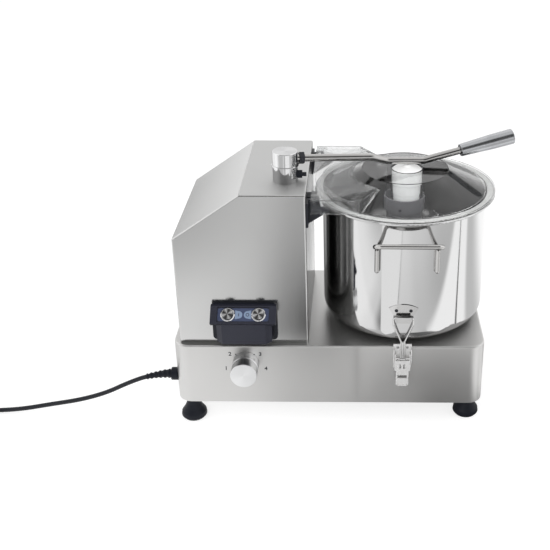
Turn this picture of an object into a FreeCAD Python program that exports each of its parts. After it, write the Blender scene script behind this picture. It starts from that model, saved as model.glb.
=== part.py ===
import FreeCAD, Part
import math
import os
import Sketcher

# Bowl cutter with a clear lid, a clamping lever and a belt drive, in millimetres.
# X points right, Y points back, Z points up. The bench is at z = 0.

os.makedirs("parts", exist_ok=True)
document = FreeCAD.newDocument("BowlCutter")
sheet = document.addObject("Spreadsheet::Sheet", "dims")
nodes = []


# A number that also knows its expression in the sheet.
class Size:
    def __init__(self, value, text):
        self.value = float(value)
        self.text = text

    def __add__(self, other):
        return Size(self.value + number(other), "(" + self.text + " + " + words(other) + ")")

    def __radd__(self, other):
        return Size(number(other) + self.value, "(" + words(other) + " + " + self.text + ")")

    def __sub__(self, other):
        return Size(self.value - number(other), "(" + self.text + " - " + words(other) + ")")

    def __rsub__(self, other):
        return Size(number(other) - self.value, "(" + words(other) + " - " + self.text + ")")

    def __mul__(self, other):
        return Size(self.value * number(other), "(" + self.text + " * " + words(other) + ")")

    def __rmul__(self, other):
        return Size(number(other) * self.value, "(" + words(other) + " * " + self.text + ")")

    def __truediv__(self, other):
        return Size(self.value / number(other), "(" + self.text + " / " + words(other) + ")")

    def __neg__(self):
        return Size(-self.value, "(0 - " + self.text + ")")


def number(size):
    return size.value if isinstance(size, Size) else float(size)


def words(size):
    return size.text if isinstance(size, Size) else "%.6f" % size


rowsUsed = 0


def dim(alias, value):
    global rowsUsed
    rowsUsed += 1
    sheet.set("A%d" % rowsUsed, alias)
    sheet.set("B%d" % rowsUsed, "%g" % value)
    sheet.setAlias("B%d" % rowsUsed, alias)
    return Size(value, "dims." + alias)


# Places of the whole machine in its own frame
centreX = dim("centreX", -27.6)
centreY = dim("centreY", 0.0)

# Bowl and its seat
bowlRadius = dim("bowlRadius", 143)
bowlWall = dim("bowlWall", 2)
bowlHeight = dim("bowlHeight", 231)
bowlRound = dim("bowlRound", 22)
rimWide = dim("rimWide", 13.5)
rimThick = dim("rimThick", 4)
rimEdge = dim("rimEdge", 1.6)
seatHeight = dim("seatHeight", 7)
seatRadius = dim("seatRadius", 70)
spigotRise = dim("spigotRise", 24)
columnRadius = dim("columnRadius", 22)
columnShort = dim("columnShort", 57)
columnFit = dim("columnFit", 0.5)
weldSize = dim("weldSize", 3)
rimRadius = bowlRadius + rimWide
columnHeight = bowlHeight - columnShort

# Wire handles of the bowl
handleWire = dim("handleWire", 4)
handleFoot = dim("handleFoot", 50)
handleBar = dim("handleBar", 55)
handleOut = dim("handleOut", 34.6)
handleIn = dim("handleIn", 5)
handleLow = dim("handleLow", 138)
handleKnee = dim("handleKnee", 181)
handleHigh = dim("handleHigh", 202)
handleBend = dim("handleBend", 9)

# Base, as long and deep as what stands on it
housingWide = dim("housingWide", 222.4)
housingInset = dim("housingInset", 12)
rimClear = dim("rimClear", 9.7)
sideOverhang = dim("sideOverhang", 3.6)
bowlOverhang = dim("bowlOverhang", 1.5)
baseHeight = dim("baseHeight", 116)
baseRound = dim("baseRound", 26)
sheetWall = dim("sheetWall", 2)
edgeRound = dim("edgeRound", 3)
holeGap = dim("holeGap", 4)
slotWide = dim("slotWide", 5)
slotLong = dim("slotLong", 80)
slotPitch = dim("slotPitch", 12.5)
baseLength = housingInset + housingWide + rimClear + rimRadius + bowlRadius - sideOverhang
baseDepth = (bowlRadius - bowlOverhang) * 2
axisX = baseLength / 2 - bowlRadius + sideOverhang

# Feet
footHeight = dim("footHeight", 46)
footFlare = dim("footFlare", 23)
footNeck = dim("footNeck", 11.5)
footInset = dim("footInset", 24)
footInLeft = dim("footInLeft", 23.5)
footInRight = dim("footInRight", 38.5)
baseTop = footHeight + baseHeight
bowlFloor = baseTop + seatHeight
rimTop = bowlFloor + bowlHeight

# Housing of the motor, a step behind the faces of the base and higher than the rim of the bowl
housingTopWide = dim("housingTopWide", 107.8)
housingSetback = dim("housingSetback", 11)
housingOverRim = dim("housingOverRim", 38.6)
slopeDrop = dim("slopeDrop", 79.4)
louvreWide = dim("louvreWide", 120)
louvreHigh = dim("louvreHigh", 6)
louvreLow = dim("louvreLow", 40)
louvrePitch = dim("louvrePitch", 14)
housingLeft = housingInset - baseLength / 2
housingRight = housingLeft + housingWide
slopeTopX = housingRight - housingTopWide
housingDepth = baseDepth - housingSetback * 2
housingTop = rimTop + housingOverRim
housingHeight = housingTop - baseTop
slopeHeight = housingHeight - slopeDrop

# Drive
motorShift = dim("motorShift", 3.2)
motorRadius = dim("motorRadius", 72)
motorRoom = dim("motorRoom", 104.6)
motorPlate = dim("motorPlate", 6)
motorEdge = dim("motorEdge", 14)
motorShaft = dim("motorShaft", 9)
motorShield = dim("motorShield", 8)
motorCasing = dim("motorCasing", 10)
finOut = dim("finOut", 6)
finThick = dim("finThick", 3)
shaftTail = dim("shaftTail", 12)
spindleRadius = dim("spindleRadius", 12.5)
smallPulley = dim("smallPulley", 28)
largePulley = dim("largePulley", 44.8)
pulleyHeight = dim("pulleyHeight", 22)
pulleyRise = dim("pulleyRise", 26)
beltThick = dim("beltThick", 6)
beltHigh = dim("beltHigh", 10)
beltGap = dim("beltGap", 0.3)
bearingRadius = dim("bearingRadius", 26)
bearingHigh = dim("bearingHigh", 15)
bearingFit = dim("bearingFit", 0.05)
bearingStop = dim("bearingStop", 3)
carrierWall = dim("carrierWall", 8)
carrierFlange = dim("carrierFlange", 26)
carrierThick = dim("carrierThick", 6)
carrierHigh = dim("carrierHigh", 60)
motorX = housingLeft + housingWide / 2 - motorShift
pulleyLow = footHeight + pulleyRise
motorHeight = housingHeight - motorRoom

# Hub and blades
hubRadius = dim("hubRadius", 31)
collarRadius = dim("collarRadius", 35.5)
collarHigh = dim("collarHigh", 24.5)
collarWall = dim("collarWall", 1.9)
cupDepth = dim("cupDepth", 21)
hubDrop = dim("hubDrop", 13)
hubClear = dim("hubClear", 5)
notchWide = dim("notchWide", 18)
notchDeep = dim("notchDeep", 3)
bladeClear = dim("bladeClear", 5)
bladeDeep = dim("bladeDeep", 26)
bladeBack = dim("bladeBack", 14)
bladeThick = dim("bladeThick", 2.5)
bladeRing = dim("bladeRing", 6)
bladeRingHigh = dim("bladeRingHigh", 4.5)
bladeLow = dim("bladeLow", 12)
bladeGap = dim("bladeGap", 34)
screwSide = dim("screwSide", 9)
screwRadius = dim("screwRadius", 2.6)
screwDrop = dim("screwDrop", 17)
hubTop = rimTop - hubDrop

# Lid
lidGap = dim("lidGap", 0.2)
gasketThick = dim("gasketThick", 1)
gasketWide = dim("gasketWide", 8)
lidThick = dim("lidThick", 2.5)
lidFlange = dim("lidFlange", 3)
deckHeight = dim("deckHeight", 36.6)
deckRadius = dim("deckRadius", 75)
coneInset = dim("coneInset", 1)
tubeRadius = dim("tubeRadius", 28.3)
tubeShift = dim("tubeShift", 3)
tubeDip = dim("tubeDip", 7)
wellDeep = dim("wellDeep", 27)
wellWall = dim("wellWall", 1.5)
wellLedge = dim("wellLedge", 3.7)
lidTrim = dim("lidTrim", 14)
hoodHeight = dim("hoodHeight", 29.3)
hoodInset = dim("hoodInset", 3.5)
hoodWall = dim("hoodWall", 3)
hoodGap = dim("hoodGap", 7.6)
hoodCorner = dim("hoodCorner", 77.6)
hoodReach = dim("hoodReach", 90)
hoodShoulder = dim("hoodShoulder", 78)
coneRadius = bowlRadius - coneInset
hoodLeft = housingRight + hoodGap
hoodHalf = housingDepth / 2 - hoodInset
lidLow = rimTop + lidGap + gasketThick
lidDeck = deckHeight - gasketThick - lidGap

# Hinge of the lid and its interlock switch
pinOut = dim("pinOut", 13.6)
pinAbove = dim("pinAbove", 19)
pinRadius = dim("pinRadius", 3)
pinFit = dim("pinFit", 0.05)
blockWide = dim("blockWide", 12)
blockGap = dim("blockGap", 0.5)
earWide = dim("earWide", 5)
hingePlateLow = dim("hingePlateLow", 38)
hingePlateHigh = dim("hingePlateHigh", 4.5)
hingePlateThick = dim("hingePlateThick", 3.5)
hingePlateFoot = dim("hingePlateFoot", 18)
interlockSide = dim("interlockSide", 52)
interlockWide = dim("interlockWide", 22)
interlockDeep = dim("interlockDeep", 16)
interlockDrop = dim("interlockDrop", 4)
pinX = housingRight + pinOut
pinHeight = rimTop + pinAbove

# Lever
postInset = dim("postInset", 36.4)
postFromFront = dim("postFromFront", 66)
postRadius = dim("postRadius", 21)
postLow = dim("postLow", 26)
postHeight = dim("postHeight", 52)
postStep = dim("postStep", 5)
spigotHigh = dim("spigotHigh", 8)
capGap = dim("capGap", 0.2)
beadRadius = dim("beadRadius", 1.5)
rodRadius = dim("rodRadius", 6.25)
rodRise = dim("rodRise", 37.2)
rodBend = dim("rodBend", 22)
rodSink = dim("rodSink", 1.4)
bendBefore = dim("bendBefore", 64.5)
bendHigh = dim("bendHigh", 24.4)
dipBefore = dim("dipBefore", 37.5)
dipHigh = dim("dipHigh", 15)
dipAfter = dim("dipAfter", 30.5)
dipLow = dim("dipLow", 7.4)
riseAfter = dim("riseAfter", 46.5)
riseHigh = dim("riseHigh", 10.4)
endAfter = dim("endAfter", 106.5)
endHigh = dim("endHigh", 19.9)
nutHalf = dim("nutHalf", 10.5)
nutHigh = dim("nutHigh", 8)
nutGap = dim("nutGap", 1.4)
gripLength = dim("gripLength", 99.5)
gripSmall = dim("gripSmall", 10.9)
gripWaist = dim("gripWaist", 13.5)
gripLarge = dim("gripLarge", 13.8)
gripTaper = dim("gripTaper", 38)
gripSink = dim("gripSink", 8)
stopHalf = dim("stopHalf", 7.2)
stopHead = dim("stopHead", 9)
stopRadius = dim("stopRadius", 3.5)
stopLong = dim("stopLong", 16)
stopRise = dim("stopRise", 11)
stopSink = dim("stopSink", 2)
postX = housingRight - postInset
postY = postFromFront - housingDepth / 2

# Press knob in the well of the lid
nubGap = dim("nubGap", 0.6)
nubRadius = dim("nubRadius", 4)
stemDeep = dim("stemDeep", 32)
stemTaper = dim("stemTaper", 14)
knobShoulder = dim("knobShoulder", 6.5)

# Latches
latchBeside = dim("latchBeside", 4.1)
wireRadius = dim("wireRadius", 1.5)
pivotDrop = dim("pivotDrop", 12)
pivotOut = dim("pivotOut", 7)
loopDrop = dim("loopDrop", 8)
loopHalf = dim("loopHalf", 17)
loopStem = dim("loopStem", 3)
loopShoulder = dim("loopShoulder", 26)
loopBend = dim("loopBend", 3.5)
loopBarOut = dim("loopBarOut", 4.6)
loopBarDrop = dim("loopBarDrop", 12)
eyeRadius = dim("eyeRadius", 3.6)
hookRise = dim("hookRise", 53)
keeperHalf = dim("keeperHalf", 25)
keeperNeck = dim("keeperNeck", 15.2)
keeperWaist = dim("keeperWaist", 18.5)
keeperCrown = dim("keeperCrown", 7.8)
keeperShoulder = dim("keeperShoulder", 16.6)
keeperFoot = dim("keeperFoot", 7)
lipOut = dim("lipOut", 10)
lipThick = dim("lipThick", 1.4)
lipHigh = dim("lipHigh", 4)
bracketWide = dim("bracketWide", 31.5)
bracketHigh = dim("bracketHigh", 47)
bracketThick = dim("bracketThick", 1.6)
bracketBelow = dim("bracketBelow", 29)
bracketEar = dim("bracketEar", 11.5)
leverWide = dim("leverWide", 22)
leverLong = dim("leverLong", 58)
leverOut = dim("leverOut", 5.5)
leverGap = dim("leverGap", 0.65)
windowHalf = dim("windowHalf", 8)
windowHigh = dim("windowHigh", 6.1)
slitWide = dim("slitWide", 2.5)
slitHigh = dim("slitHigh", 9)
latchX = axisX - latchBeside
pivotHeight = baseTop - pivotDrop
hookHeight = bowlFloor + hookRise

# Controls
switchRise = dim("switchRise", 14)
switchShift = dim("switchShift", 3.3)
plateHalf = dim("plateHalf", 55.5)
plateHigh = dim("plateHigh", 72)
plateThick = dim("plateThick", 4)
plateRound = dim("plateRound", 7)
plateBelow = dim("plateBelow", 5)
switchHalf = dim("switchHalf", 47)
switchBevel = dim("switchBevel", 10)
switchDeep = dim("switchDeep", 24)
switchHigh = dim("switchHigh", 62)
panelHalf = dim("panelHalf", 44)
panelIn = dim("panelIn", 16)
panelRise = dim("panelRise", 53)
panelDeepHalf = dim("panelDeepHalf", 9.2)
keyRadius = dim("keyRadius", 9)
keyApart = dim("keyApart", 26)
keyLow = dim("keyLow", 3.4)
keyHigh = dim("keyHigh", 4)
bezelIn = dim("bezelIn", 9.4)
bezelOut = dim("bezelOut", 12)
bezelHigh = dim("bezelHigh", 3)
knobShift = dim("knobShift", 2.3)
knobDrop = dim("knobDrop", 35)
knobRadius = dim("knobRadius", 22.7)
knobLength = dim("knobLength", 39.5)
knobStep = dim("knobStep", 16.6)
knobGroove = dim("knobGroove", 1.6)
knobGap = dim("knobGap", 0.6)
knobStem = dim("knobStem", 3)
controlRadius = dim("controlRadius", 14)
controlDeep = dim("controlDeep", 20)
switchLow = baseTop + switchRise
switchX = housingLeft + housingWide / 2 + switchShift
knobX = housingLeft + housingWide / 2 + knobShift
knobHeight = baseTop - knobDrop

# Cord
glandIn = dim("glandIn", 29.5)
glandRise = dim("glandRise", 39)
glandLength = dim("glandLength", 20)
glandRadius = dim("glandRadius", 11.5)
cordRadius = dim("cordRadius", 4)
coilInner = dim("coilInner", 34)
coilOuter = dim("coilOuter", 58)
coilHigh = dim("coilHigh", 15.4)
coilAway = dim("coilAway", 370)
coilSide = dim("coilSide", 170.5)
plugLong = dim("plugLong", 40)
plugWide = dim("plugWide", 26)
plugHigh = dim("plugHigh", 20)
reliefLong = dim("reliefLong", 20)
glandY = glandIn - baseDepth / 2
glandHeight = footHeight + glandRise

frontFace = -baseDepth / 2
housingFront = -housingDepth / 2
leftFace = -baseLength / 2

noTurn = FreeCAD.Rotation()
towardFront = FreeCAD.Rotation(FreeCAD.Vector(1, 0, 0), 90)
towardLeft = FreeCAD.Rotation(FreeCAD.Vector(0, 1, 0), -90)
towardRight = FreeCAD.Rotation(FreeCAD.Vector(0, 1, 0), 90)


# Puts an object in the machine's frame and binds its place to the sheet.
def place(item, x, y, z, turn=noTurn):
    spot = (centreX + x, centreY + y, z)
    item.Placement = FreeCAD.Placement(FreeCAD.Vector(*[number(part) for part in spot]), turn)
    for axis, part in zip("xyz", spot):
        if isinstance(part, Size):
            item.setExpression("Placement.Base." + axis, part.text)
    nodes.append(item)
    return item


def newBody(label, x, y, z, turn=noTurn):
    body = document.addObject("PartDesign::Body", label)
    body.Label = label
    return place(body, x, y, z, turn)


def newSketch(body, role, offset=0):
    sketch = body.newObject("Sketcher::SketchObject", body.Name + "Sketch")
    plane = [item for item in body.Origin.OriginFeatures if item.Role == role][0]
    sketch.AttachmentSupport = [(plane, "")]
    sketch.MapMode = "FlatFace"
    sketch.AttachmentOffset = FreeCAD.Placement(FreeCAD.Vector(0, 0, number(offset)), noTurn)
    if isinstance(offset, Size):
        sketch.setExpression("AttachmentOffset.Base.z", offset.text)
    return sketch


def limit(sketch, constraint, size):
    spot = sketch.addConstraint(constraint)
    if isinstance(size, Size):
        sketch.setExpression("Constraints[%d]" % spot, size.text)


def pin(sketch, curve, end, x, y):
    limit(sketch, Sketcher.Constraint("DistanceX", -1, 1, curve, end, number(x)), x)
    limit(sketch, Sketcher.Constraint("DistanceY", -1, 1, curve, end, number(y)), y)


# A closed outline through the given corners, each corner bound to the sheet
def polygon(sketch, corners):
    first = sketch.GeometryCount
    count = len(corners)
    spots = [FreeCAD.Vector(number(x), number(y), 0) for x, y in corners]
    for index in range(count):
        sketch.addGeometry(Part.LineSegment(spots[index], spots[(index + 1) % count]), False)
    for index in range(count):
        after = first + (index + 1) % count
        sketch.addConstraint(Sketcher.Constraint("Coincident", first + index, 2, after, 1))
    for index, (x, y) in enumerate(corners):
        pin(sketch, first + index, 1, x, y)
    return sketch


# The same, but its last side is an arc that rises by crown between two corners of one height
def archedPolygon(sketch, corners, crown):
    first = sketch.GeometryCount
    spots = [FreeCAD.Vector(number(x), number(y), 0) for x, y in corners]
    for start, end in zip(spots, spots[1:]):
        sketch.addGeometry(Part.LineSegment(start, end), False)
    arc = first + len(corners) - 1
    top = (spots[0] + spots[-1]) * 0.5 + FreeCAD.Vector(0, number(crown), 0)
    sketch.addGeometry(Part.Arc(spots[-1], top, spots[0]), False)
    for index in range(first, arc):
        sketch.addConstraint(Sketcher.Constraint("Coincident", index, 2, index + 1, 1))
    sketch.addConstraint(Sketcher.Constraint("Coincident", arc, 2, first, 1))
    for index, (x, y) in enumerate(corners):
        pin(sketch, first + index, 1, x, y)
    half = corners[-1][0]
    radius = (half * half + crown * crown) / (crown * 2)
    limit(sketch, Sketcher.Constraint("Radius", arc, number(radius)), radius)
    return sketch


def rectangle(sketch, left, right, low, high):
    return polygon(sketch, [(left, low), (right, low), (right, high), (left, high)])


def circle(sketch, x, y, radius):
    centre = FreeCAD.Vector(number(x), number(y), 0)
    upward = FreeCAD.Vector(0, 0, 1)
    curve = sketch.addGeometry(Part.Circle(centre, upward, number(radius)), False)
    pin(sketch, curve, 3, x, y)
    limit(sketch, Sketcher.Constraint("Radius", curve, number(radius)), radius)
    return sketch


def pad(body, sketch, length, bothSides=False):
    feature = body.newObject("PartDesign::Pad", body.Name + "Pad")
    feature.Profile = sketch
    feature.Length = number(length)
    if isinstance(length, Size):
        feature.setExpression("Length", length.text)
    feature.Midplane = bothSides
    return feature


def pocket(body, sketch, length, backward=False, bothSides=False):
    feature = body.newObject("PartDesign::Pocket", body.Name + "Pocket")
    feature.Profile = sketch
    feature.Length = number(length)
    if isinstance(length, Size):
        feature.setExpression("Length", length.text)
    feature.Reversed = backward
    feature.Midplane = bothSides
    return feature


# Repeats a cut or a pad in a straight row and makes the row the body's last feature.
def repeat(body, feature, direction, pitch, count):
    row = body.newObject("PartDesign::LinearPattern", body.Name + "Row")
    row.Originals = [feature]
    row.Direction = direction
    row.Length = number(pitch) * (count - 1)
    row.setExpression("Length", (pitch * (count - 1)).text)
    row.Occurrences = count
    body.Tip = row
    return row


def revolve(body, sketch, angle=360):
    feature = body.newObject("PartDesign::Revolution", body.Name + "Turned")
    feature.Profile = sketch
    feature.ReferenceAxis = (sketch, ["V_Axis"])
    feature.Angle = angle
    feature.Midplane = angle < 360
    return feature


# Rounds those edges of a body for which the test is true.
def rounded(body, radius, test):
    document.recompute()
    base = body.Tip
    names = ["Edge%d" % (index + 1) for index, edge in enumerate(base.Shape.Edges) if test(edge)]
    feature = body.newObject("PartDesign::Fillet", body.Name + "Round")
    feature.Base = (base, names)
    feature.Radius = number(radius)
    if isinstance(radius, Size):
        feature.setExpression("Radius", radius.text)
    return feature


def isRing(edge, radius, height):
    box = edge.BoundBox
    flat = box.ZLength < 0.01 and abs(box.ZMin - number(height)) < 0.01
    return flat and abs(box.XMax - number(radius)) < 0.01 and abs(box.XMin + number(radius)) < 0.01


# A turned piece: corners are (radius, height) along its own axis.
def turned(label, x, y, z, corners, turn=noTurn):
    body = newBody(label, x, y, z, turn)
    revolve(body, polygon(newSketch(body, "XZ_Plane"), corners))
    return body


def block(label, x, y, z, lengthX, lengthY, lengthZ):
    box = document.addObject("Part::Box", label)
    box.Label = label
    for name, length in (("Length", lengthX), ("Width", lengthY), ("Height", lengthZ)):
        setattr(box, name, number(length))
        if isinstance(length, Size):
            box.setExpression(name, length.text)
    return place(box, x, y, z)


def solidNode(label, shape, x=0, y=0, z=0, turn=noTurn):
    item = document.addObject("Part::Feature", label)
    item.Label = label
    item.Shape = shape
    return place(item, x, y, z, turn)


# Straight runs joined by tangent arcs, each as large as its two runs allow or as given.
def roundedPath(points, radius=None):
    spots = [FreeCAD.Vector(*point) for point in points]
    edges = []
    radii = []
    start = spots[0]
    for before, corner, after in zip(spots, spots[1:], spots[2:]):
        inward = (before - corner).normalize()
        outward = (after - corner).normalize()
        half = (math.pi - inward.getAngle(outward)) / 2
        shorter = min((before - corner).Length, (after - corner).Length)
        size = radius if radius else 0.45 * shorter / math.tan(half)
        radii.append(size)
        back = size * math.tan(half)
        bisector = (inward + outward).normalize()
        middle = corner + bisector * (size / math.cos(half) - size)
        entry = corner + inward * back
        leave = corner + outward * back
        edges.append(Part.LineSegment(start, entry).toShape())
        edges.append(Part.Arc(entry, middle, leave).toShape())
        start = leave
    edges.append(Part.LineSegment(start, spots[-1]).toShape())
    return Part.Wire(edges), radii


def wireSolid(points, thickness, radius):
    path, radii = roundedPath(points, radius)
    direction = FreeCAD.Vector(*points[1]) - FreeCAD.Vector(*points[0])
    section = Part.Wire([Part.makeCircle(thickness, FreeCAD.Vector(*points[0]), direction)])
    print("bend radii", sorted(set(round(size, 1) for size in radii)))
    return path.makePipeShell([section], True, False)


def roundedRectangle(sketch, halfX, halfY, radius):
    a, b, r = number(halfX), number(halfY), number(radius)
    vector = FreeCAD.Vector
    upward = vector(0, 0, 1)
    lines = [
        (vector(r - a, -b, 0), vector(a - r, -b, 0)),
        (vector(a, r - b, 0), vector(a, b - r, 0)),
        (vector(a - r, b, 0), vector(r - a, b, 0)),
        (vector(-a, b - r, 0), vector(-a, r - b, 0)),
    ]
    centres = [vector(x, y, 0) for x, y in ((a - r, r - b), (a - r, b - r), (r - a, b - r), (r - a, r - b))]
    for index in range(4):
        sketch.addGeometry(Part.LineSegment(*lines[index]), False)
        begin = math.radians(90 * index - 90)
        arc = Part.ArcOfCircle(Part.Circle(centres[index], upward, r), begin, begin + math.pi / 2)
        sketch.addGeometry(arc, False)
    for index in range(4):
        line, arc, after = 2 * index, 2 * index + 1, (2 * index + 2) % 8
        sketch.addConstraint(Sketcher.Constraint("Tangent", line, 2, arc, 1))
        sketch.addConstraint(Sketcher.Constraint("Tangent", arc, 2, after, 1))
        sketch.addConstraint(Sketcher.Constraint("Vertical" if index % 2 else "Horizontal", line))
    for arc in (3, 5, 7):
        sketch.addConstraint(Sketcher.Constraint("Equal", 1, arc))
    limit(sketch, Sketcher.Constraint("Radius", 1, r), radius)
    limit(sketch, Sketcher.Constraint("DistanceY", -1, 1, 0, 1, -b), -halfY)
    limit(sketch, Sketcher.Constraint("DistanceX", -1, 1, 2, 1, a), halfX)
    limit(sketch, Sketcher.Constraint("DistanceY", -1, 1, 4, 1, b), halfY)
    limit(sketch, Sketcher.Constraint("DistanceX", -1, 1, 6, 1, -a), -halfX)
    return sketch


# Base: folded sheet shell, floor plate and four feet
def buildBase():
    shell = newBody("base_shell", 0, 0, footHeight)
    halfX = baseLength / 2
    halfY = baseDepth / 2
    pad(shell, roundedRectangle(newSketch(shell, "XY_Plane"), halfX, halfY, baseRound), baseHeight)
    rounded(shell, edgeRound, lambda edge: edge.BoundBox.ZMin > number(baseHeight) - 0.01)
    inner = newSketch(shell, "XY_Plane")
    roundedRectangle(inner, halfX - sheetWall, halfY - sheetWall, baseRound - sheetWall)
    pocket(shell, inner, baseHeight - sheetWall, True)
    topHoles = newSketch(shell, "XY_Plane", baseHeight)
    circle(topHoles, axisX, 0, spindleRadius + holeGap)
    circle(topHoles, motorX, 0, motorShaft + holeGap)
    pocket(shell, topHoles, sheetWall * 2)
    knobHole = newSketch(shell, "XZ_Plane", baseDepth / 2)
    circle(knobHole, knobX, knobHeight - footHeight, knobStem + knobStem / 2)
    pocket(shell, knobHole, sheetWall * 2)

    floor = newBody("base_floor_plate", 0, 0, footHeight)
    outline = newSketch(floor, "XY_Plane")
    roundedRectangle(outline, halfX - sheetWall, halfY - sheetWall, baseRound - sheetWall)
    pad(floor, outline, sheetWall)
    slot = newSketch(floor, "XY_Plane", sheetWall)
    slots = 9
    firstSlot = slotPitch * (1 - slots) / 2
    rectangle(slot, firstSlot - slotWide / 2, firstSlot + slotWide / 2, -slotLong / 2, slotLong / 2)
    cut = pocket(floor, slot, sheetWall * 2)
    repeat(floor, cut, (slot, ["H_Axis"]), slotPitch, slots)

    wideLevel = 5
    bellyLevel = 21
    belly = footFlare - 7
    corners = [
        (0, 0), (footFlare - 4, 0), (footFlare, wideLevel), (footFlare - 1, 12), (belly, bellyLevel),
        (footNeck + 1, 29), (footNeck, 34), (footNeck, footHeight), (0, footHeight)]
    footX = halfX - footInset
    leftY = halfY - footInLeft
    rightY = halfY - footInRight
    spots = (("front_left", -footX, -leftY), ("front_right", footX, -rightY), ("rear_left", -footX, leftY),
             ("rear_right", footX, rightY))
    for name, x, y in spots:
        foot = turned("foot_" + name, x, y, 0, corners)
        rounded(foot, 3, lambda edge: isRing(edge, footFlare, wideLevel) or isRing(edge, belly, bellyLevel))


# Motor housing: bent sheet with a sloping side, closed by a louvred panel at the back
def housingCorners(inset, low):
    lean = math.hypot(number(slopeTopX - housingLeft), number(housingHeight - slopeHeight))
    across = number(housingHeight - slopeHeight) / lean
    along = number(slopeTopX - housingLeft) / lean
    left = housingLeft + inset
    top = housingHeight - inset
    slopeShift = (1 - across) / along
    topShift = (1 - along) / across
    return [
        (left, low),
        (housingRight - inset, low),
        (housingRight - inset, top),
        (slopeTopX + inset * topShift, top),
        (left, slopeHeight - inset * slopeShift),
    ]


def buildHousing():
    shell = newBody("housing_shell", 0, 0, baseTop)
    pad(shell, polygon(newSketch(shell, "XZ_Plane"), housingCorners(sheetWall * 0, 0)), housingDepth, True)
    halfDepth = number(housingDepth) / 2
    rounded(shell, edgeRound, lambda edge: edge.BoundBox.ZMax > 1 and edge.BoundBox.YMin < halfDepth - 1)
    inner = newSketch(shell, "XZ_Plane", -housingDepth / 2)
    polygon(inner, housingCorners(sheetWall, -10))
    pocket(shell, inner, housingDepth - sheetWall, True)

    panel = newBody("housing_back_panel", 0, housingDepth / 2, baseTop)
    pad(panel, polygon(newSketch(panel, "XZ_Plane"), housingCorners(sheetWall, 0)), sheetWall)
    slot = newSketch(panel, "XZ_Plane")
    rectangle(slot, motorX - louvreWide / 2, motorX + louvreWide / 2, louvreLow, louvreLow + louvreHigh)
    cut = pocket(panel, slot, sheetWall * 4, False, True)
    repeat(panel, cut, (slot, ["V_Axis"]), louvrePitch, 9)


# Drive: motor on the base, toothed belt below, spindle in its bearings under the bowl
def pulleyCorners(radius, bore):
    groove = radius - beltThick
    lip = (pulleyHeight - beltHigh) / 2 - 1
    return [
        (bore, 0), (radius, 0), (radius, lip), (groove, lip), (groove, pulleyHeight - lip),
        (radius, pulleyHeight - lip), (radius, pulleyHeight), (bore, pulleyHeight),
    ]


# Outline of a belt that runs round two circles, the second one away from the first along X
def beltOutline(largeSize, smallSize, distance):
    lean = math.acos((largeSize - smallSize) / distance)

    def spot(centre, size, angle):
        return FreeCAD.Vector(centre + size * math.cos(angle), size * math.sin(angle), 0)

    far = -distance
    largeTop = spot(0, largeSize, math.pi - lean)
    largeLow = spot(0, largeSize, math.pi + lean)
    smallTop = spot(far, smallSize, math.pi - lean)
    smallLow = spot(far, smallSize, math.pi + lean)
    return Part.Face(Part.Wire([
        Part.Arc(largeLow, spot(0, largeSize, 0), largeTop).toShape(),
        Part.LineSegment(largeTop, smallTop).toShape(),
        Part.Arc(smallTop, spot(far, smallSize, math.pi), smallLow).toShape(),
        Part.LineSegment(smallLow, largeLow).toShape(),
    ]))


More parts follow.
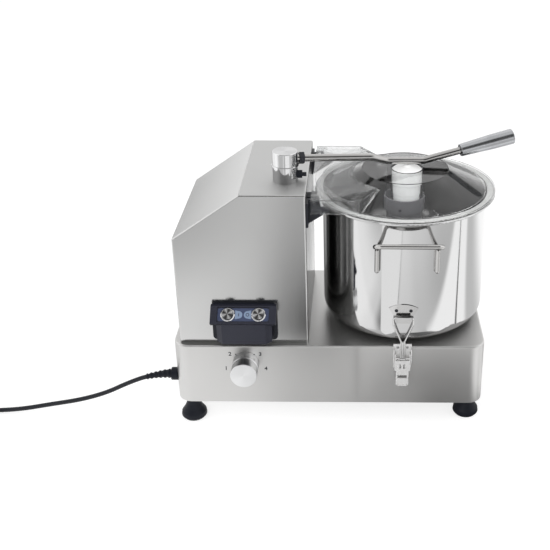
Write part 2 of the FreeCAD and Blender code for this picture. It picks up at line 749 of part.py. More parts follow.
def buildDrive():
    shield = motorShield
    casing = motorRadius - motorCasing
    shaftHole = motorShaft + 0.5
    motor = turned("motor_body", motorX, 0, baseTop, [
        (shaftHole, 0), (motorRadius, 0), (motorRadius, motorHeight), (shaftHole, motorHeight),
        (shaftHole, motorHeight - shield), (casing, motorHeight - shield), (casing, shield), (shaftHole, shield),
    ])
    flange = motorRadius + motorEdge
    sketch = rectangle(newSketch(motor, "XY_Plane"), -flange, flange, -flange, flange)
    circle(sketch, 0, 0, casing)
    pad(motor, sketch, motorPlate)
    fin = newSketch(motor, "XY_Plane", motorPlate)
    rectangle(fin, motorRadius - 1, motorRadius + finOut, -finThick / 2, finThick / 2)
    rib = pad(motor, fin, motorHeight - shield * 3)
    pattern = motor.newObject("PartDesign::PolarPattern", "coolingFins")
    pattern.Originals = [rib]
    pattern.Axis = (fin, ["N_Axis"])
    pattern.Angle = 360
    pattern.Occurrences = 20
    motor.Tip = pattern

    shaftTop = baseTop + motorHeight + shaftTail
    turned("motor_shaft", motorX, 0, pulleyLow, [
        (0, 0), (motorShaft, 0), (motorShaft, shaftTop - pulleyLow), (0, shaftTop - pulleyLow)])
    turned("motor_pulley", motorX, 0, pulleyLow, pulleyCorners(smallPulley, motorShaft))
    turned("spindle_pulley", axisX, 0, pulleyLow, pulleyCorners(largePulley, spindleRadius))

    distance = number(axisX - motorX)
    insideLarge = number(largePulley - beltThick + beltGap)
    insideSmall = number(smallPulley - beltThick + beltGap)
    thick = number(beltThick)
    loop = beltOutline(insideLarge + thick, insideSmall + thick, distance)
    loop = loop.cut(beltOutline(insideLarge, insideSmall, distance))
    beltLow = pulleyLow + (pulleyHeight - beltHigh) / 2
    solidNode("drive_belt", loop.extrude(FreeCAD.Vector(0, 0, number(beltHigh))), axisX, 0, beltLow)

    underTop = baseTop - sheetWall
    wall = bearingRadius + carrierWall
    flange = bearingRadius + carrierFlange
    ledge = bearingRadius - bearingStop
    upperLow = carrierHigh - carrierThick - bearingHigh
    turned("bearing_housing", axisX, 0, underTop - carrierHigh, [
        (ledge, bearingHigh), (bearingRadius, bearingHigh), (bearingRadius, 0), (wall, 0),
        (wall, carrierHigh - carrierThick), (flange, carrierHigh - carrierThick), (flange, carrierHigh),
        (bearingRadius, carrierHigh), (bearingRadius, upperLow), (ledge, upperLow),
    ])
    lower = Part.makeCylinder(number(bearingRadius), number(bearingHigh))
    lower = lower.cut(Part.makeCylinder(number(spindleRadius + bearingFit), number(bearingHigh)))
    upper = lower.translated(FreeCAD.Vector(0, 0, number(upperLow)))
    solidNode("spindle_bearings", Part.makeCompound([lower, upper]), axisX, 0, underTop - carrierHigh)

    shaftHigh = hubTop - cupDepth - carrierThick - pulleyLow
    shaft = turned("spindle_shaft", axisX, 0, pulleyLow, [
        (0, 0), (spindleRadius, 0), (spindleRadius, shaftHigh), (0, shaftHigh)])
    rounded(shaft, beadRadius, lambda edge: isRing(edge, spindleRadius, shaftHigh))


# Bowl: drawn cup, rolled rim and welded column, with its seat and two wire handles
def buildBowl():
    spigot = columnRadius - bowlWall - columnFit
    spigotTop = seatHeight + spigotRise
    passage = spindleRadius + columnFit * 3
    turned("bowl_seat", axisX, 0, baseTop, [
        (passage, 0), (seatRadius, 0), (seatRadius, seatHeight), (spigot, seatHeight), (spigot, spigotTop),
        (passage, spigotTop)])
    inside = bowlRadius - bowlWall
    bowl = turned("bowl", axisX, 0, bowlFloor, [
        (columnRadius, 0), (bowlRadius, 0), (bowlRadius, bowlHeight), (inside, bowlHeight), (inside, bowlWall),
        (columnRadius, bowlWall)])
    rounded(bowl, bowlRound, lambda edge: isRing(edge, bowlRadius, 0))
    rounded(bowl, bowlRound - bowlWall, lambda edge: isRing(edge, inside, bowlWall))
    turned("bowl_column", axisX, 0, bowlFloor, [
        (columnRadius - bowlWall, 0), (columnRadius, 0), (columnRadius, bowlWall),
        (columnRadius + weldSize, bowlWall), (columnRadius, bowlWall + weldSize), (columnRadius, columnHeight),
        (columnRadius - bowlWall, columnHeight)])
    rim = turned("bowl_rim", axisX, 0, rimTop - rimThick, [
        (bowlRadius, 0), (rimRadius, 0), (rimRadius, rimThick), (bowlRadius, rimThick)])
    rounded(rim, rimEdge, lambda edge: isRing(edge, rimRadius, 0) or isRing(edge, rimRadius, rimThick))

    # one leg goes up the wall, then out and up to the bar; the other mirrors it
    inner = handleIn - bowlRadius
    leg = [
        (handleFoot, inner, handleLow), (handleFoot, inner, handleKnee),
        (handleBar, -bowlRadius - handleOut, handleHigh)]
    leg = [tuple(number(part) for part in point) for point in leg]
    points = [(-x, y, z) for x, y, z in leg] + list(reversed(leg))
    handle = wireSolid(points, number(handleWire), number(handleBend))
    for x, y, z in (points[0], points[-1]):
        handle = handle.fuse(Part.makeSphere(number(handleWire), FreeCAD.Vector(x, y, z)))
    handle = handle.cut(Part.makeCylinder(number(bowlRadius), number(bowlHeight))).removeSplitter()
    solidNode("bowl_handle_front", handle, axisX, 0, bowlFloor)
    halfTurn = FreeCAD.Rotation(FreeCAD.Vector(0, 0, 1), 180)
    solidNode("bowl_handle_rear", handle, axisX, 0, bowlFloor, halfTurn)


# Two swept blades at different heights on a hub that drops over the column
def bladeShape(span, root, sweep):
    edge = -number(bladeDeep)
    back = number(bladeBack)
    points = [
        (root, edge + 9), (span * 0.55, edge), (span * 0.86, edge + 6), (span, back - 10),
        (span * 0.9, back - 12), (span * 0.7, back - 10), (span * 0.45, back - 6), (root, back),
    ]
    outline = Part.BSplineCurve()
    outline.interpolate([FreeCAD.Vector(x, y, 0) for x, y in points[:4]])
    spine = Part.BSplineCurve()
    spine.interpolate([FreeCAD.Vector(x, y, 0) for x, y in points[3:]])
    close = Part.LineSegment(FreeCAD.Vector(*points[-1], 0), FreeCAD.Vector(*points[0], 0))
    face = Part.Face(Part.Wire([outline.toShape(), spine.toShape(), close.toShape()]))
    wing = face.extrude(FreeCAD.Vector(0, 0, number(bladeThick)))
    other = wing.copy()
    other.rotate(FreeCAD.Vector(0, 0, 0), FreeCAD.Vector(0, 0, 1), 180)
    wing.rotate(FreeCAD.Vector(0, 0, 0), FreeCAD.Vector(0, 0, 1), sweep)
    other.rotate(FreeCAD.Vector(0, 0, 0), FreeCAD.Vector(0, 0, 1), sweep)
    return wing, other


def buildBlades():
    hubLow = bowlFloor + bowlWall + hubClear
    high = hubTop - hubLow
    bore = columnRadius + columnFit
    socket = high - cupDepth - carrierThick
    boreTop = columnHeight - bowlWall - hubClear + weldSize
    cupRadius = collarRadius - collarWall
    hub = turned("blade_hub", axisX, 0, hubLow, [
        (bore, 0), (hubRadius, 0), (hubRadius, high - collarHigh), (collarRadius, high - collarHigh),
        (collarRadius, high), (cupRadius, high), (cupRadius, high - cupDepth), (0, high - cupDepth),
        (0, socket), (spindleRadius, socket), (spindleRadius, boreTop), (bore, boreTop),
    ])
    rounded(hub, 0.6, lambda edge: isRing(edge, collarRadius, high))
    notch = newSketch(hub, "XY_Plane", high)
    rectangle(notch, -collarRadius * 2, collarRadius * 2, -notchWide / 2, notchWide / 2)
    pocket(hub, notch, notchDeep)
    screwRise = high - screwDrop
    screwOut = hubRadius + 1
    screwHole = newSketch(hub, "XZ_Plane", collarRadius + 1)
    circle(screwHole, -screwSide, screwRise, screwRadius)
    pocket(hub, screwHole, collarRadius + 1 - screwOut)
    span = number(bowlRadius - bowlWall - bladeClear)
    inside = number(hubRadius)
    ringHigh = number(bladeRingHigh)
    for name, level, sweep in (("lower", bladeLow, 25), ("upper", bladeLow + bladeGap, 115)):
        wings = bladeShape(span, inside - 11, sweep)
        boss = Part.makeCylinder(inside + number(bladeRing), ringHigh)
        blade = boss.fuse(wings[0]).fuse(wings[1])
        blade = blade.cut(Part.makeCylinder(inside, 3 * ringHigh, FreeCAD.Vector(0, 0, -ringHigh)))
        solidNode("blade_" + name, blade.removeSplitter(), axisX, 0, hubLow + level)
    turned("hub_grub_screw", axisX - screwSide, -screwOut, hubLow + screwRise, [
        (0, 0), (screwRadius, 0), (screwRadius, 1.8), (1.2, 1.8), (1.2, 0.6), (0, 0.6)], towardFront)


# Clear lid: flange, shallow cone, flat deck and a well for the press knob
def buildLid():
    deck = lidDeck
    dome = newBody("lid_dome", axisX, 0, lidLow)
    profile = newSketch(dome, "XZ_Plane")
    inset = lidThick * 1.2
    polygon(profile, [
        (bowlRadius - bowlWall - lidFlange, 0), (rimRadius, 0), (rimRadius, lidFlange),
        (coneRadius, lidFlange),
        (deckRadius, deck), (0, deck), (0, deck - lidThick), (deckRadius - 1, deck - lidThick),
        (coneRadius - inset, lidFlange - 0.5),
    ])
    revolve(dome, profile)
    wellLow = hubTop - tubeDip - lidLow
    well = newSketch(dome, "XY_Plane", wellLow)
    circle(well, tubeShift, 0, tubeRadius)
    pad(dome, well, deck - lidThick / 2 - wellLow)
    wide = newSketch(dome, "XY_Plane", deck)
    circle(wide, tubeShift, 0, tubeRadius - wellWall)
    pocket(dome, wide, wellDeep)
    narrow = newSketch(dome, "XY_Plane", deck)
    circle(narrow, tubeShift, 0, tubeRadius - wellLedge)
    pocket(dome, narrow, deck - wellLow + 1)
    side = newSketch(dome, "XY_Plane", deck)
    cutAt = hoodLeft + lidTrim - axisX
    rectangle(side, -rimRadius * 2, cutAt, -rimRadius, rimRadius)
    pocket(dome, side, deck + 1)

    gasket = newBody("lid_gasket", axisX, 0, rimTop + lidGap)
    ring = newSketch(gasket, "XY_Plane")
    circle(ring, 0, 0, bowlRadius + 1 + gasketWide)
    circle(ring, 0, 0, bowlRadius + 1)
    pad(gasket, ring, gasketThick)
    trim = newSketch(gasket, "XY_Plane", gasketThick)
    rectangle(trim, -rimRadius * 2, cutAt, -rimRadius, rimRadius)
    pocket(gasket, trim, gasketThick * 2)
    buildHood()


# The hood is a clear box that bridges from the housing to the cone of the lid.
def hoodOutline(inset, left):
    half = number(hoodHalf) - inset
    centre = number(axisX)
    corner = centre - number(hoodCorner) - inset * 0.6
    arcReach = number(hoodReach) + inset
    shoulder = number(hoodShoulder) - inset
    shoulderX = centre - math.sqrt(arcReach ** 2 - shoulder ** 2)
    points = [(left, -half), (corner, -half), (shoulderX, -shoulder)]
    front = [FreeCAD.Vector(x, y, 0) for x, y in points]
    rear = [FreeCAD.Vector(x, -y, 0) for x, y in reversed(points)]
    edges = [Part.LineSegment(*pair).toShape() for pair in zip(front, front[1:])]
    edges.append(Part.Arc(front[-1], FreeCAD.Vector(centre - arcReach, 0, 0), rear[0]).toShape())
    edges += [Part.LineSegment(*pair).toShape() for pair in zip(rear, rear[1:])]
    edges.append(Part.LineSegment(rear[-1], front[0]).toShape())
    return Part.Face(Part.Wire(edges))


def buildHood():
    low = number(lidLow + lidFlange)
    high = number(rimTop + hoodHeight)
    wall = number(hoodWall)
    outer = hoodOutline(0, number(hoodLeft)).extrude(FreeCAD.Vector(0, 0, high - low))
    inner = hoodOutline(wall, number(hoodLeft) - 5).extrude(FreeCAD.Vector(0, 0, high - low - wall))
    deck = number(rimTop + deckHeight)
    foot = FreeCAD.Vector(number(axisX), 0, 0)
    cone = Part.makeCone(number(coneRadius), number(deckRadius), deck - low, foot)
    hood = outer.cut(inner).cut(cone)
    solid = max(hood.Solids, key=lambda part: part.Volume)
    solidNode("lid_hood", solid, 0, 0, lidLow + lidFlange)


# Hinge of the lid: blocks in the hood turn on pins in two brackets on the housing wall
def buildHinge():
    inner = hoodHalf - hoodWall
    wallX = housingRight - pinX
    pinRise = pinHeight - lidLow - lidFlange
    under = hoodHeight - lidGap - gasketThick - lidFlange - hoodWall
    for name, side in (("front", -1), ("rear", 1)):
        piece = newBody("hinge_block_" + name, pinX, inner * side, lidLow + lidFlange)
        sketch = newSketch(piece, "XZ_Plane")
        rectangle(sketch, -5, 13, 0, under)
        pad(piece, sketch, blockWide).Reversed = side < 0
        shaft = newSketch(piece, "XZ_Plane")
        circle(shaft, 0, pinRise, pinRadius)
        pad(piece, shaft, blockWide + earWide + blockGap).Reversed = side < 0

        bracket = newBody("hinge_bracket_" + name, pinX, (inner - blockWide - blockGap) * side, pinHeight)
        sketch = newSketch(bracket, "XZ_Plane")
        plateFront = wallX + hingePlateThick
        polygon(sketch, [
            (wallX, -hingePlateLow), (plateFront, -hingePlateLow), (24, -16), (24, -13), (10, -8),
            (7, hingePlateHigh), (wallX, hingePlateHigh)])
        circle(sketch, 0, 0, pinRadius + pinFit)
        pad(bracket, sketch, earWide).Reversed = side < 0
        foot = newSketch(bracket, "XZ_Plane")
        rectangle(foot, wallX, plateFront, -hingePlateLow, hingePlateHigh)
        pad(bracket, foot, hingePlateFoot).Reversed = side > 0

    # Interlock switch under the hood, beside the rim of the bowl
    interlockY = -interlockSide - interlockWide
    interlockLow = rimTop - interlockDrop
    block("safety_switch", housingRight, interlockY, interlockLow, interlockDeep, interlockWide, interlockDeep)


# White press knob in the well of the lid; the lever's rod rests on its nub.
def buildPressKnob(rodLow):
    seat = lidLow + lidDeck - wellDeep
    high = rodLow - nubGap - number(seat)
    capTop = high - knobShoulder
    stem = tubeRadius - wellLedge - 0.5
    head = tubeRadius - wellWall - 0.3
    stepLevel = stemTaper - stemDeep
    turned("press_knob", axisX + tubeShift, 0, seat, [
        (0, -stemDeep), (stem - 1.3, -stemDeep), (stem - 1.3, stepLevel), (stem, stepLevel + 1),
        (stem, 0), (head, 0), (head, capTop - 3), (head - 3, capTop),
        (nubRadius + 5, high - 2.5), (nubRadius, high), (0, high),
    ])


def hexagon(half, high):
    corners = []
    for side in range(7):
        angle = math.radians(60 * side)
        corners.append(FreeCAD.Vector(number(half) * math.cos(angle), number(half) * math.sin(angle), 0))
    return Part.Face(Part.makePolygon(corners)).extrude(FreeCAD.Vector(0, 0, number(high)))


# Lever: fixed post, turning cap, joggled rod and a tapered grip
def buildLever():
    spigot = postRadius - postStep
    beadTop = postLow + beadRadius * 2
    turned("lever_post", postX, postY, housingTop, [
        (0, 0), (postRadius, 0), (postRadius, postLow), (postRadius + beadRadius, postLow + beadRadius / 2),
        (postRadius + beadRadius, beadTop - beadRadius / 2), (postRadius, beadTop), (spigot, beadTop),
        (spigot, beadTop + spigotHigh), (0, beadTop + spigotHigh)])
    capLow = beadTop + capGap
    capHigh = postHeight - capLow
    socket = spigot + pinFit
    cap = turned("lever_cap", postX, postY, housingTop + capLow, [
        (socket, 0), (postRadius, 0), (postRadius, capHigh), (0, capHigh), (0, spigotHigh),
        (socket, spigotHigh)])
    rounded(cap, beadRadius, lambda edge: isRing(edge, postRadius, capHigh))

    swing = FreeCAD.Rotation(FreeCAD.Vector(0, 0, 1), leverAngle)
    radius = number(rodRadius)
    start = number(postRadius)
    knobReach = math.hypot(number(axisX + tubeShift - postX), number(postY))
    path = [
        (start - number(rodSink), rodRise), (knobReach - bendBefore, bendHigh), (knobReach - dipBefore, dipHigh),
        (knobReach + dipAfter, dipLow), (knobReach + riseAfter, riseHigh), (knobReach + endAfter, endHigh)]
    points = [(number(reach), 0, number(height)) for reach, height in path]
    rod = wireSolid(points, radius, number(rodBend))
    rod = rod.cut(Part.makeCylinder(start, number(postHeight) + 10))
    solidNode("lever_rod", rod, postX, postY, housingTop, swing)
    nutLong = number(nutHigh)
    nut = hexagon(nutHalf, nutHigh)
    nut = nut.cut(Part.makeCylinder(radius, nutLong * 3, FreeCAD.Vector(0, 0, -nutLong)))
    lean = math.atan2(points[0][2] - points[1][2], points[1][0] - points[0][0])
    nutTurn = swing.multiply(FreeCAD.Rotation(FreeCAD.Vector(0, 1, 0), 90 + math.degrees(lean)))
    out = start + number(beadRadius + nutGap)
    level = points[0][2] - (out - points[0][0]) * math.tan(lean)
    away = math.radians(leverAngle)
    solidNode("lever_lock_nut", nut, postX + out * math.cos(away), postY + out * math.sin(away),
              housingTop + level, nutTurn)

    rodEnd = FreeCAD.Vector(*points[-1])
    before = FreeCAD.Vector(*points[-2])
    direction = (rodEnd - before).normalize()
    tilt = math.degrees(math.atan2(direction.z, direction.x))
    gripStart = rodEnd - direction * number(gripSink)
    gripTurn = swing.multiply(FreeCAD.Rotation(FreeCAD.Vector(0, 1, 0), 90 - tilt))
    grip = turned("lever_grip", postX + gripStart.x * math.cos(away), postY + gripStart.x * math.sin(away),
                  housingTop + gripStart.z, [
                      (rodRadius, 0), (gripSmall, 0), (gripWaist, gripLength - gripTaper),
                      (gripLarge, gripLength), (0, gripLength), (0, gripSink), (rodRadius, gripSink)], gripTurn)
    rounded(grip, 1.2, lambda edge: isRing(edge, gripLarge, gripLength) or isRing(edge, gripSmall, 0))

    stop = hexagon(stopHalf, stopHead).fuse(Part.makeCylinder(number(stopRadius), number(stopLong)))
    middle = FreeCAD.Vector(-start, 0, number(stopSink) - start)
    post = Part.makeCylinder(start, start * 2, middle, FreeCAD.Vector(1, 0, 0))
    stop = stop.cut(post).removeSplitter()
    solidNode("stop_bolt", stop, postX + postRadius - stopSink, postY, housingTop + stopRise, towardRight)
    middle = number(axisX + tubeShift - postX) * math.cos(away) - number(postY) * math.sin(away)
    slope = (points[3][2] - points[2][2]) / (points[3][0] - points[2][0])
    rodHeight = points[2][2] + slope * (middle - points[2][0])
    return number(housingTop) + rodHeight - radius / math.cos(math.atan(slope))


# Draw latches that hold the bowl down, one in front and one behind
def buildLatches():
    for name, side in (("front", 0), ("rear", 180)):
        buildKeeper(name, side)
        turn = FreeCAD.Rotation(FreeCAD.Vector(0, 0, 1), side)
        solidNode("latch_bracket_" + name, bracketShape(), axisX, 0, 0, turn)
        solidNode("latch_lever_" + name, latchLeverShape(), axisX, 0, 0, turn)
        solidNode("latch_loop_" + name, loopShape(), axisX, 0, 0, turn)


# Curved plate riveted to the bowl, with a lip that the loop hooks under
def buildKeeper(name, side):
    aim = math.degrees(math.atan2(-number(bowlRadius), number(latchX - axisX))) + side
    turn = FreeCAD.Rotation(FreeCAD.Vector(0, 0, 1), aim)
    keeper = newBody("latch_keeper_" + name, axisX, 0, bowlFloor, turn)
    low = hookRise - keeperFoot
    shoulder = hookRise + keeperShoulder
    plate = newSketch(keeper, "XZ_Plane")
    rectangle(plate, bowlRadius, bowlRadius + bracketThick, low, shoulder + keeperCrown + 1)
    revolve(keeper, plate, 22)
    hook = newSketch(keeper, "XZ_Plane")
    ledge = hookRise - wireRadius - 0.1
    outer = bowlRadius + lipOut
    inner = outer - lipThick
    lipTop = hookRise + lipHigh
    polygon(hook, [
        (bowlRadius + 1, low), (outer, low), (outer, lipTop), (inner, lipTop), (inner, ledge),
        (bowlRadius + 1, ledge)])
    revolve(keeper, hook, 10)
    trim = newSketch(keeper, "YZ_Plane", outer + 2)
    rectangle(trim, keeperHalf * -2, keeperHalf * 2, low - 5, shoulder + keeperCrown + 10)
    archedPolygon(trim, [
        (-keeperHalf, shoulder), (-keeperWaist, hookRise + 5), (-keeperNeck, hookRise + 2),
        (-keeperNeck, low - 1), (keeperNeck, low - 1), (keeperNeck, hookRise + 2),
        (keeperWaist, hookRise + 5), (keeperHalf, shoulder)], keeperCrown)
    pocket(keeper, trim, keeperHalf)


# A box between two levels of each axis, from the latch's own middle
def latchBox(left, right, back, front, low, high):
    size = (number(right) - number(left), number(back) - number(front), number(high) - number(low))
    corner = FreeCAD.Vector(number(latchX - axisX) + number(left), number(front), number(low))
    return Part.makeBox(*size, corner)


def latchPin(left, right, radius, depth, level):
    start = FreeCAD.Vector(number(latchX - axisX) + number(left), number(depth), number(level))
    return Part.makeCylinder(number(radius), number(right) - number(left), start, FreeCAD.Vector(1, 0, 0))


def bracketShape():
    face = frontFace
    half = bracketWide / 2
    low = pivotHeight - bracketBelow
    out = face - pivotOut
    shape = latchBox(-half, half, face, face - bracketThick, low, low + bracketHigh)
    for left in (-half, half - bracketThick):
        right = left + bracketThick
        ear = latchBox(left, right, face, face - bracketEar, pivotHeight - 14, pivotHeight + pivotDrop)
        shape = shape.fuse(ear)
    hole = latchPin(-half - 1, half + 1, wireRadius + pinFit, out, pivotHeight)
    return shape.cut(hole).removeSplitter()


# Wide ears at the pivot, a plate with two slots, then a narrower flanged tab with a window
def latchLeverShape():
    out = frontFace - pivotOut
    front = out - leverOut
    earHalf = bracketWide / 2 - bracketThick - leverGap
    tabHalf = leverWide / 2
    step = pivotHeight - bracketBelow
    foot = pivotHeight - leverLong
    thick = bracketThick
    shape = latchBox(-earHalf, earHalf, front + thick, front, step, pivotHeight - 9)
    shape = shape.fuse(latchBox(-tabHalf, tabHalf, front + thick, front, foot, step))
    shape = shape.fuse(latchBox(-tabHalf + 3, tabHalf - 3, front, front - 3, foot, foot + thick))
    for side in (-1, 1):
        ear = sorted((number(earHalf) * side, number(earHalf - thick) * side))
        shape = shape.fuse(latchBox(*ear, out + 3.3, front, pivotHeight - 12, pivotHeight + 3))
        flange = sorted((number(tabHalf) * side, number(tabHalf - thick) * side))
        shape = shape.fuse(latchBox(*flange, front + 4, front, foot, step))
    inside = front + thick * 2
    for left in (-slitWide * 2, slitWide * 0.6):
        slitLow = step + slitWide * 1.6
        shape = shape.cut(latchBox(left, left + slitWide, inside, front - 1, slitLow, slitLow + slitHigh))
    windowLow = step - windowHigh * 2.5
    shape = shape.cut(latchBox(-windowHalf, windowHalf, inside, front - 1, windowLow, windowLow + windowHigh))
    half = bracketWide / 2
    pinLong = bracketThick + leverGap + thick + 0.65
    shape = shape.fuse(latchPin(-earHalf + 0.2, earHalf - 0.2, wireRadius, out, pivotHeight - loopDrop))
    shape = shape.fuse(latchPin(-half, pinLong - half, wireRadius, out, pivotHeight))
    shape = shape.fuse(latchPin(half - pinLong, half, wireRadius, out, pivotHeight))
    return shape.removeSplitter()


# Wire from the eye on the lever up to the bar under the keeper's lip, with a threaded middle rod
def loopShape():
    middle = number(latchX - axisX)
    wire = number(wireRadius)
    out = number(frontFace - pivotOut)
    eyeZ = number(pivotHeight - loopDrop)
    top = number(hookHeight)
    wide = number(loopHalf)
    barOut = -number(bowlRadius + loopBarOut)
    stem = number(loopStem)
    stemTop = number(pivotHeight + loopShoulder)
    knee = top - number(loopBarDrop)
    half = [(stem, out, eyeZ + 2.2), (stem, out, stemTop), (wide, barOut, knee), (wide, barOut, top)]
    points = [(middle - across, depth, level) for across, depth, level in half]
    points += [(middle + across, depth, level) for across, depth, level in reversed(half)]
    loop = wireSolid(points, wire, number(loopBend))
    rod = Part.makeCylinder(wire + 0.2, stemTop - eyeZ, FreeCAD.Vector(middle, out, eyeZ))
    eyeHalf = stem + wire
    loop = loop.fuse(rod).fuse(latchPin(-eyeHalf, eyeHalf, eyeRadius, out, eyeZ))
    return loop.cut(latchPin(-eyeHalf - 1, eyeHalf + 1, wire + number(pinFit), out, eyeZ)).removeSplitter()


# Switch box on the housing and speed knob on the base
def buildControls():
    plate = newBody("switch_plate", switchX, housingFront, switchLow - plateBelow)
    sketch = newSketch(plate, "XZ_Plane")
    rectangle(sketch, -plateHalf, plateHalf, 0, plateHigh)
    pad(plate, sketch, plateThick)
    rounded(plate, plateRound, lambda edge: edge.BoundBox.XLength + edge.BoundBox.ZLength < 0.01)

    # body with bevelled corners, then the raised frame that lies on its sloping top
    half = switchHalf
    bevel = switchBevel
    deep = switchDeep
    high = switchHigh
    box = newBody("switch_box", switchX, housingFront - plateThick, switchLow)
    sketch = newSketch(box, "XY_Plane")
    polygon(sketch, [
        (-half, 0), (-half, bevel - deep), (bevel - half, -deep), (half - bevel, -deep), (half, bevel - deep),
        (half, 0)])
    pad(box, sketch, high)
    slope = newSketch(box, "YZ_Plane")
    polygon(slope, [(-deep - 1, high - deep + 3), (-deep - 1, high + 1), (1 - 3, high + 1)])
    pocket(box, slope, half * 2 + 2, False, True)
    frame = newSketch(box, "YZ_Plane")
    rise = bezelHigh
    polygon(frame, [
        (2 - deep, high - deep - 2), (-deep - 5, high - deep + 5), (-7, high + rise), (0, high + rise),
        (0, high - 4)])
    pad(box, frame, plateHalf * 2, True)
    well = newSketch(box, "YZ_Plane")
    wellIn = panelIn + panelDeepHalf
    wellOut = panelIn - panelDeepHalf
    polygon(well, [
        (-wellIn, panelRise - panelDeepHalf), (-wellIn - 2, panelRise - panelDeepHalf + 2),
        (-wellOut - 2, panelRise + panelDeepHalf + 2), (-wellOut, panelRise + panelDeepHalf)])
    pocket(box, well, panelHalf * 2, False, True)

    panelLean = FreeCAD.Rotation(FreeCAD.Vector(1, 0, 0), 45)
    panelY = housingFront - plateThick - panelIn
    panelZ = switchLow + panelRise
    origin = FreeCAD.Vector(0, 0, 0)
    upward = FreeCAD.Vector(0, 0, 1)
    lip = [
        (bezelIn, 0), (bezelOut, 0), (bezelOut, bezelHigh - 1), (bezelOut - 1.2, bezelHigh),
        (bezelIn, bezelHigh), (bezelIn, 0)]
    ring = [FreeCAD.Vector(number(reach), 0, number(level)) for reach, level in lip]
    section = Part.Face(Part.makePolygon(ring))
    bezel = section.revolve(origin, upward, 360)
    bezels = []
    for name, across in (("start", -keyApart), ("stop", keyApart)):
        key = newBody(name + "_button", switchX + across, panelY, panelZ, panelLean)
        sketch = newSketch(key, "XY_Plane", keyLow)
        circle(sketch, 0, 0, keyRadius)
        pad(key, sketch, keyHigh)
        rounded(key, 1.2, lambda edge: isRing(edge, keyRadius, keyLow + keyHigh))
        bezels.append(bezel.translated(FreeCAD.Vector(number(across), 0, 0)))
    solidNode("button_bezels", Part.makeCompound(bezels), switchX, panelY, panelZ, panelLean)

    step = knobStep
    waist = knobRadius - knobGroove
    knob = turned("speed_knob", knobX, frontFace - knobGap, knobHeight, [
        (0, -1.3), (knobStem, -1.3), (knobStem, 0), (knobRadius, 0), (knobRadius, step), (waist, step + 0.8),
        (waist, step + 2.4), (knobRadius, step + 3.2), (knobRadius, knobLength), (0, knobLength),
    ], towardFront)
    rounded(knob, 1, lambda edge: isRing(edge, knobRadius, knobLength))
    turned("speed_control", knobX, frontFace + sheetWall, knobHeight, [
        (0, 0), (controlRadius, 0), (controlRadius, -controlDeep), (0, -controlDeep)], towardFront)


# Mains cord: gland, free stretch, put-away coil and plug
def buildCord():
    turned("cord_gland", leftFace, glandY, glandHeight, [
        (0, 0), (glandRadius, 0), (glandRadius, 11), (glandRadius - 2, 12.5), (glandRadius - 2, 15),
        (glandRadius - 5, glandLength), (0, glandLength)], towardLeft)
    exitX = number(leftFace - glandLength)
    stretch = [
        (32, -112, 81), (72, -112.4, 65), (115, -112, 42), (165, -113, 27), (218, -114, 18), (276, -116, 7.5),
        (344, -116.5, 4.2)]
    route = [(exitX, number(glandY), number(glandHeight))]
    route += [(exitX - away, y, z) for away, y, z in stretch]
    start = FreeCAD.Vector(*route[0])
    path, radii = roundedPath(route)
    section = Part.Wire([Part.makeCircle(number(cordRadius), start, FreeCAD.Vector(*route[1]) - start)])
    tube = path.makePipeShell([section], True, False)
    print("cord arc radii", [round(radius, 1) for radius in radii])
    area = math.pi * number(cordRadius) ** 2
    print("cord volume over section times length", round(tube.Volume / (area * path.Length), 4))
    print("cord tube length", round(path.Length, 1))
    solidNode("mains_cord", tube)

    coilX = exitX - number(coilAway)
    coilY = -number(coilSide)
    coil = turned("cord_coil", coilX, coilY, 0, [
        (coilInner, 0), (coilOuter, 0), (coilOuter, coilHigh), (coilInner, coilHigh)])
    rounded(coil, 3, lambda edge: True)

    long, wide, high = number(plugLong), number(plugWide), number(plugHigh)
    body = Part.makeBox(long, wide, high, FreeCAD.Vector(-14, -wide / 2, 0))
    body = body.makeFillet(5, [edge for edge in body.Edges if edge.BoundBox.XLength > long - 1])
    reliefEnd = -14 - number(reliefLong)
    along = FreeCAD.Vector(1, 0, 0)
    relief = Part.makeCone(5.2, 8, number(reliefLong), FreeCAD.Vector(reliefEnd, 0, high / 2), along)
    plug = body.fuse(relief)
    for across in (-6.35, 6.35):
        plug = plug.fuse(Part.makeBox(16, 1.6, 6.3, FreeCAD.Vector(long - 14, across - 0.8, 9)))
    plug = plug.fuse(Part.makeCylinder(2.4, 18, FreeCAD.Vector(long - 14, 0, 4.5), along))
    quarter = FreeCAD.Rotation(FreeCAD.Vector(0, 0, 1), -90)
    solidNode("plug", plug.removeSplitter(), coilX - coilInner, coilY - 23, coilHigh, quarter)


leverAngle = math.degrees(math.atan2(-number(postY), number(axisX - postX)))

buildBase()
buildHousing()
buildDrive()
buildBowl()
buildBlades()
buildLid()
buildHinge()
rodLow = buildLever()
buildPressKnob(rodLow)
buildLatches()
buildControls()
buildCord()

document.recompute()
total = FreeCAD.BoundBox()
looseNodes = ("mains_cord", "cord_coil", "plug", "cord_gland")
for item in nodes:
    if "Invalid" in item.State or "Error" in item.State:
        raise RuntimeError(item.Label + " did not compute: " + str(item.State))
    if item.Shape.isNull() or not item.Shape.isValid():
        raise RuntimeError(item.Label + " has no valid shape")
    item.Shape.exportStep("parts/" + item.Label + ".step")
    if item.Label not in looseNodes:
        total.add(item.Shape.optimalBoundingBox(False))
print(len(nodes), "nodes")
print("machine without its cord: X %.2f..%.2f  Y %.2f..%.2f  Z %.2f..%.2f" % (
    total.XMin, total.XMax, total.YMin, total.YMax, total.ZMin, total.ZMax))
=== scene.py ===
import math
import bmesh
import bpy
from mathutils import Matrix, Vector


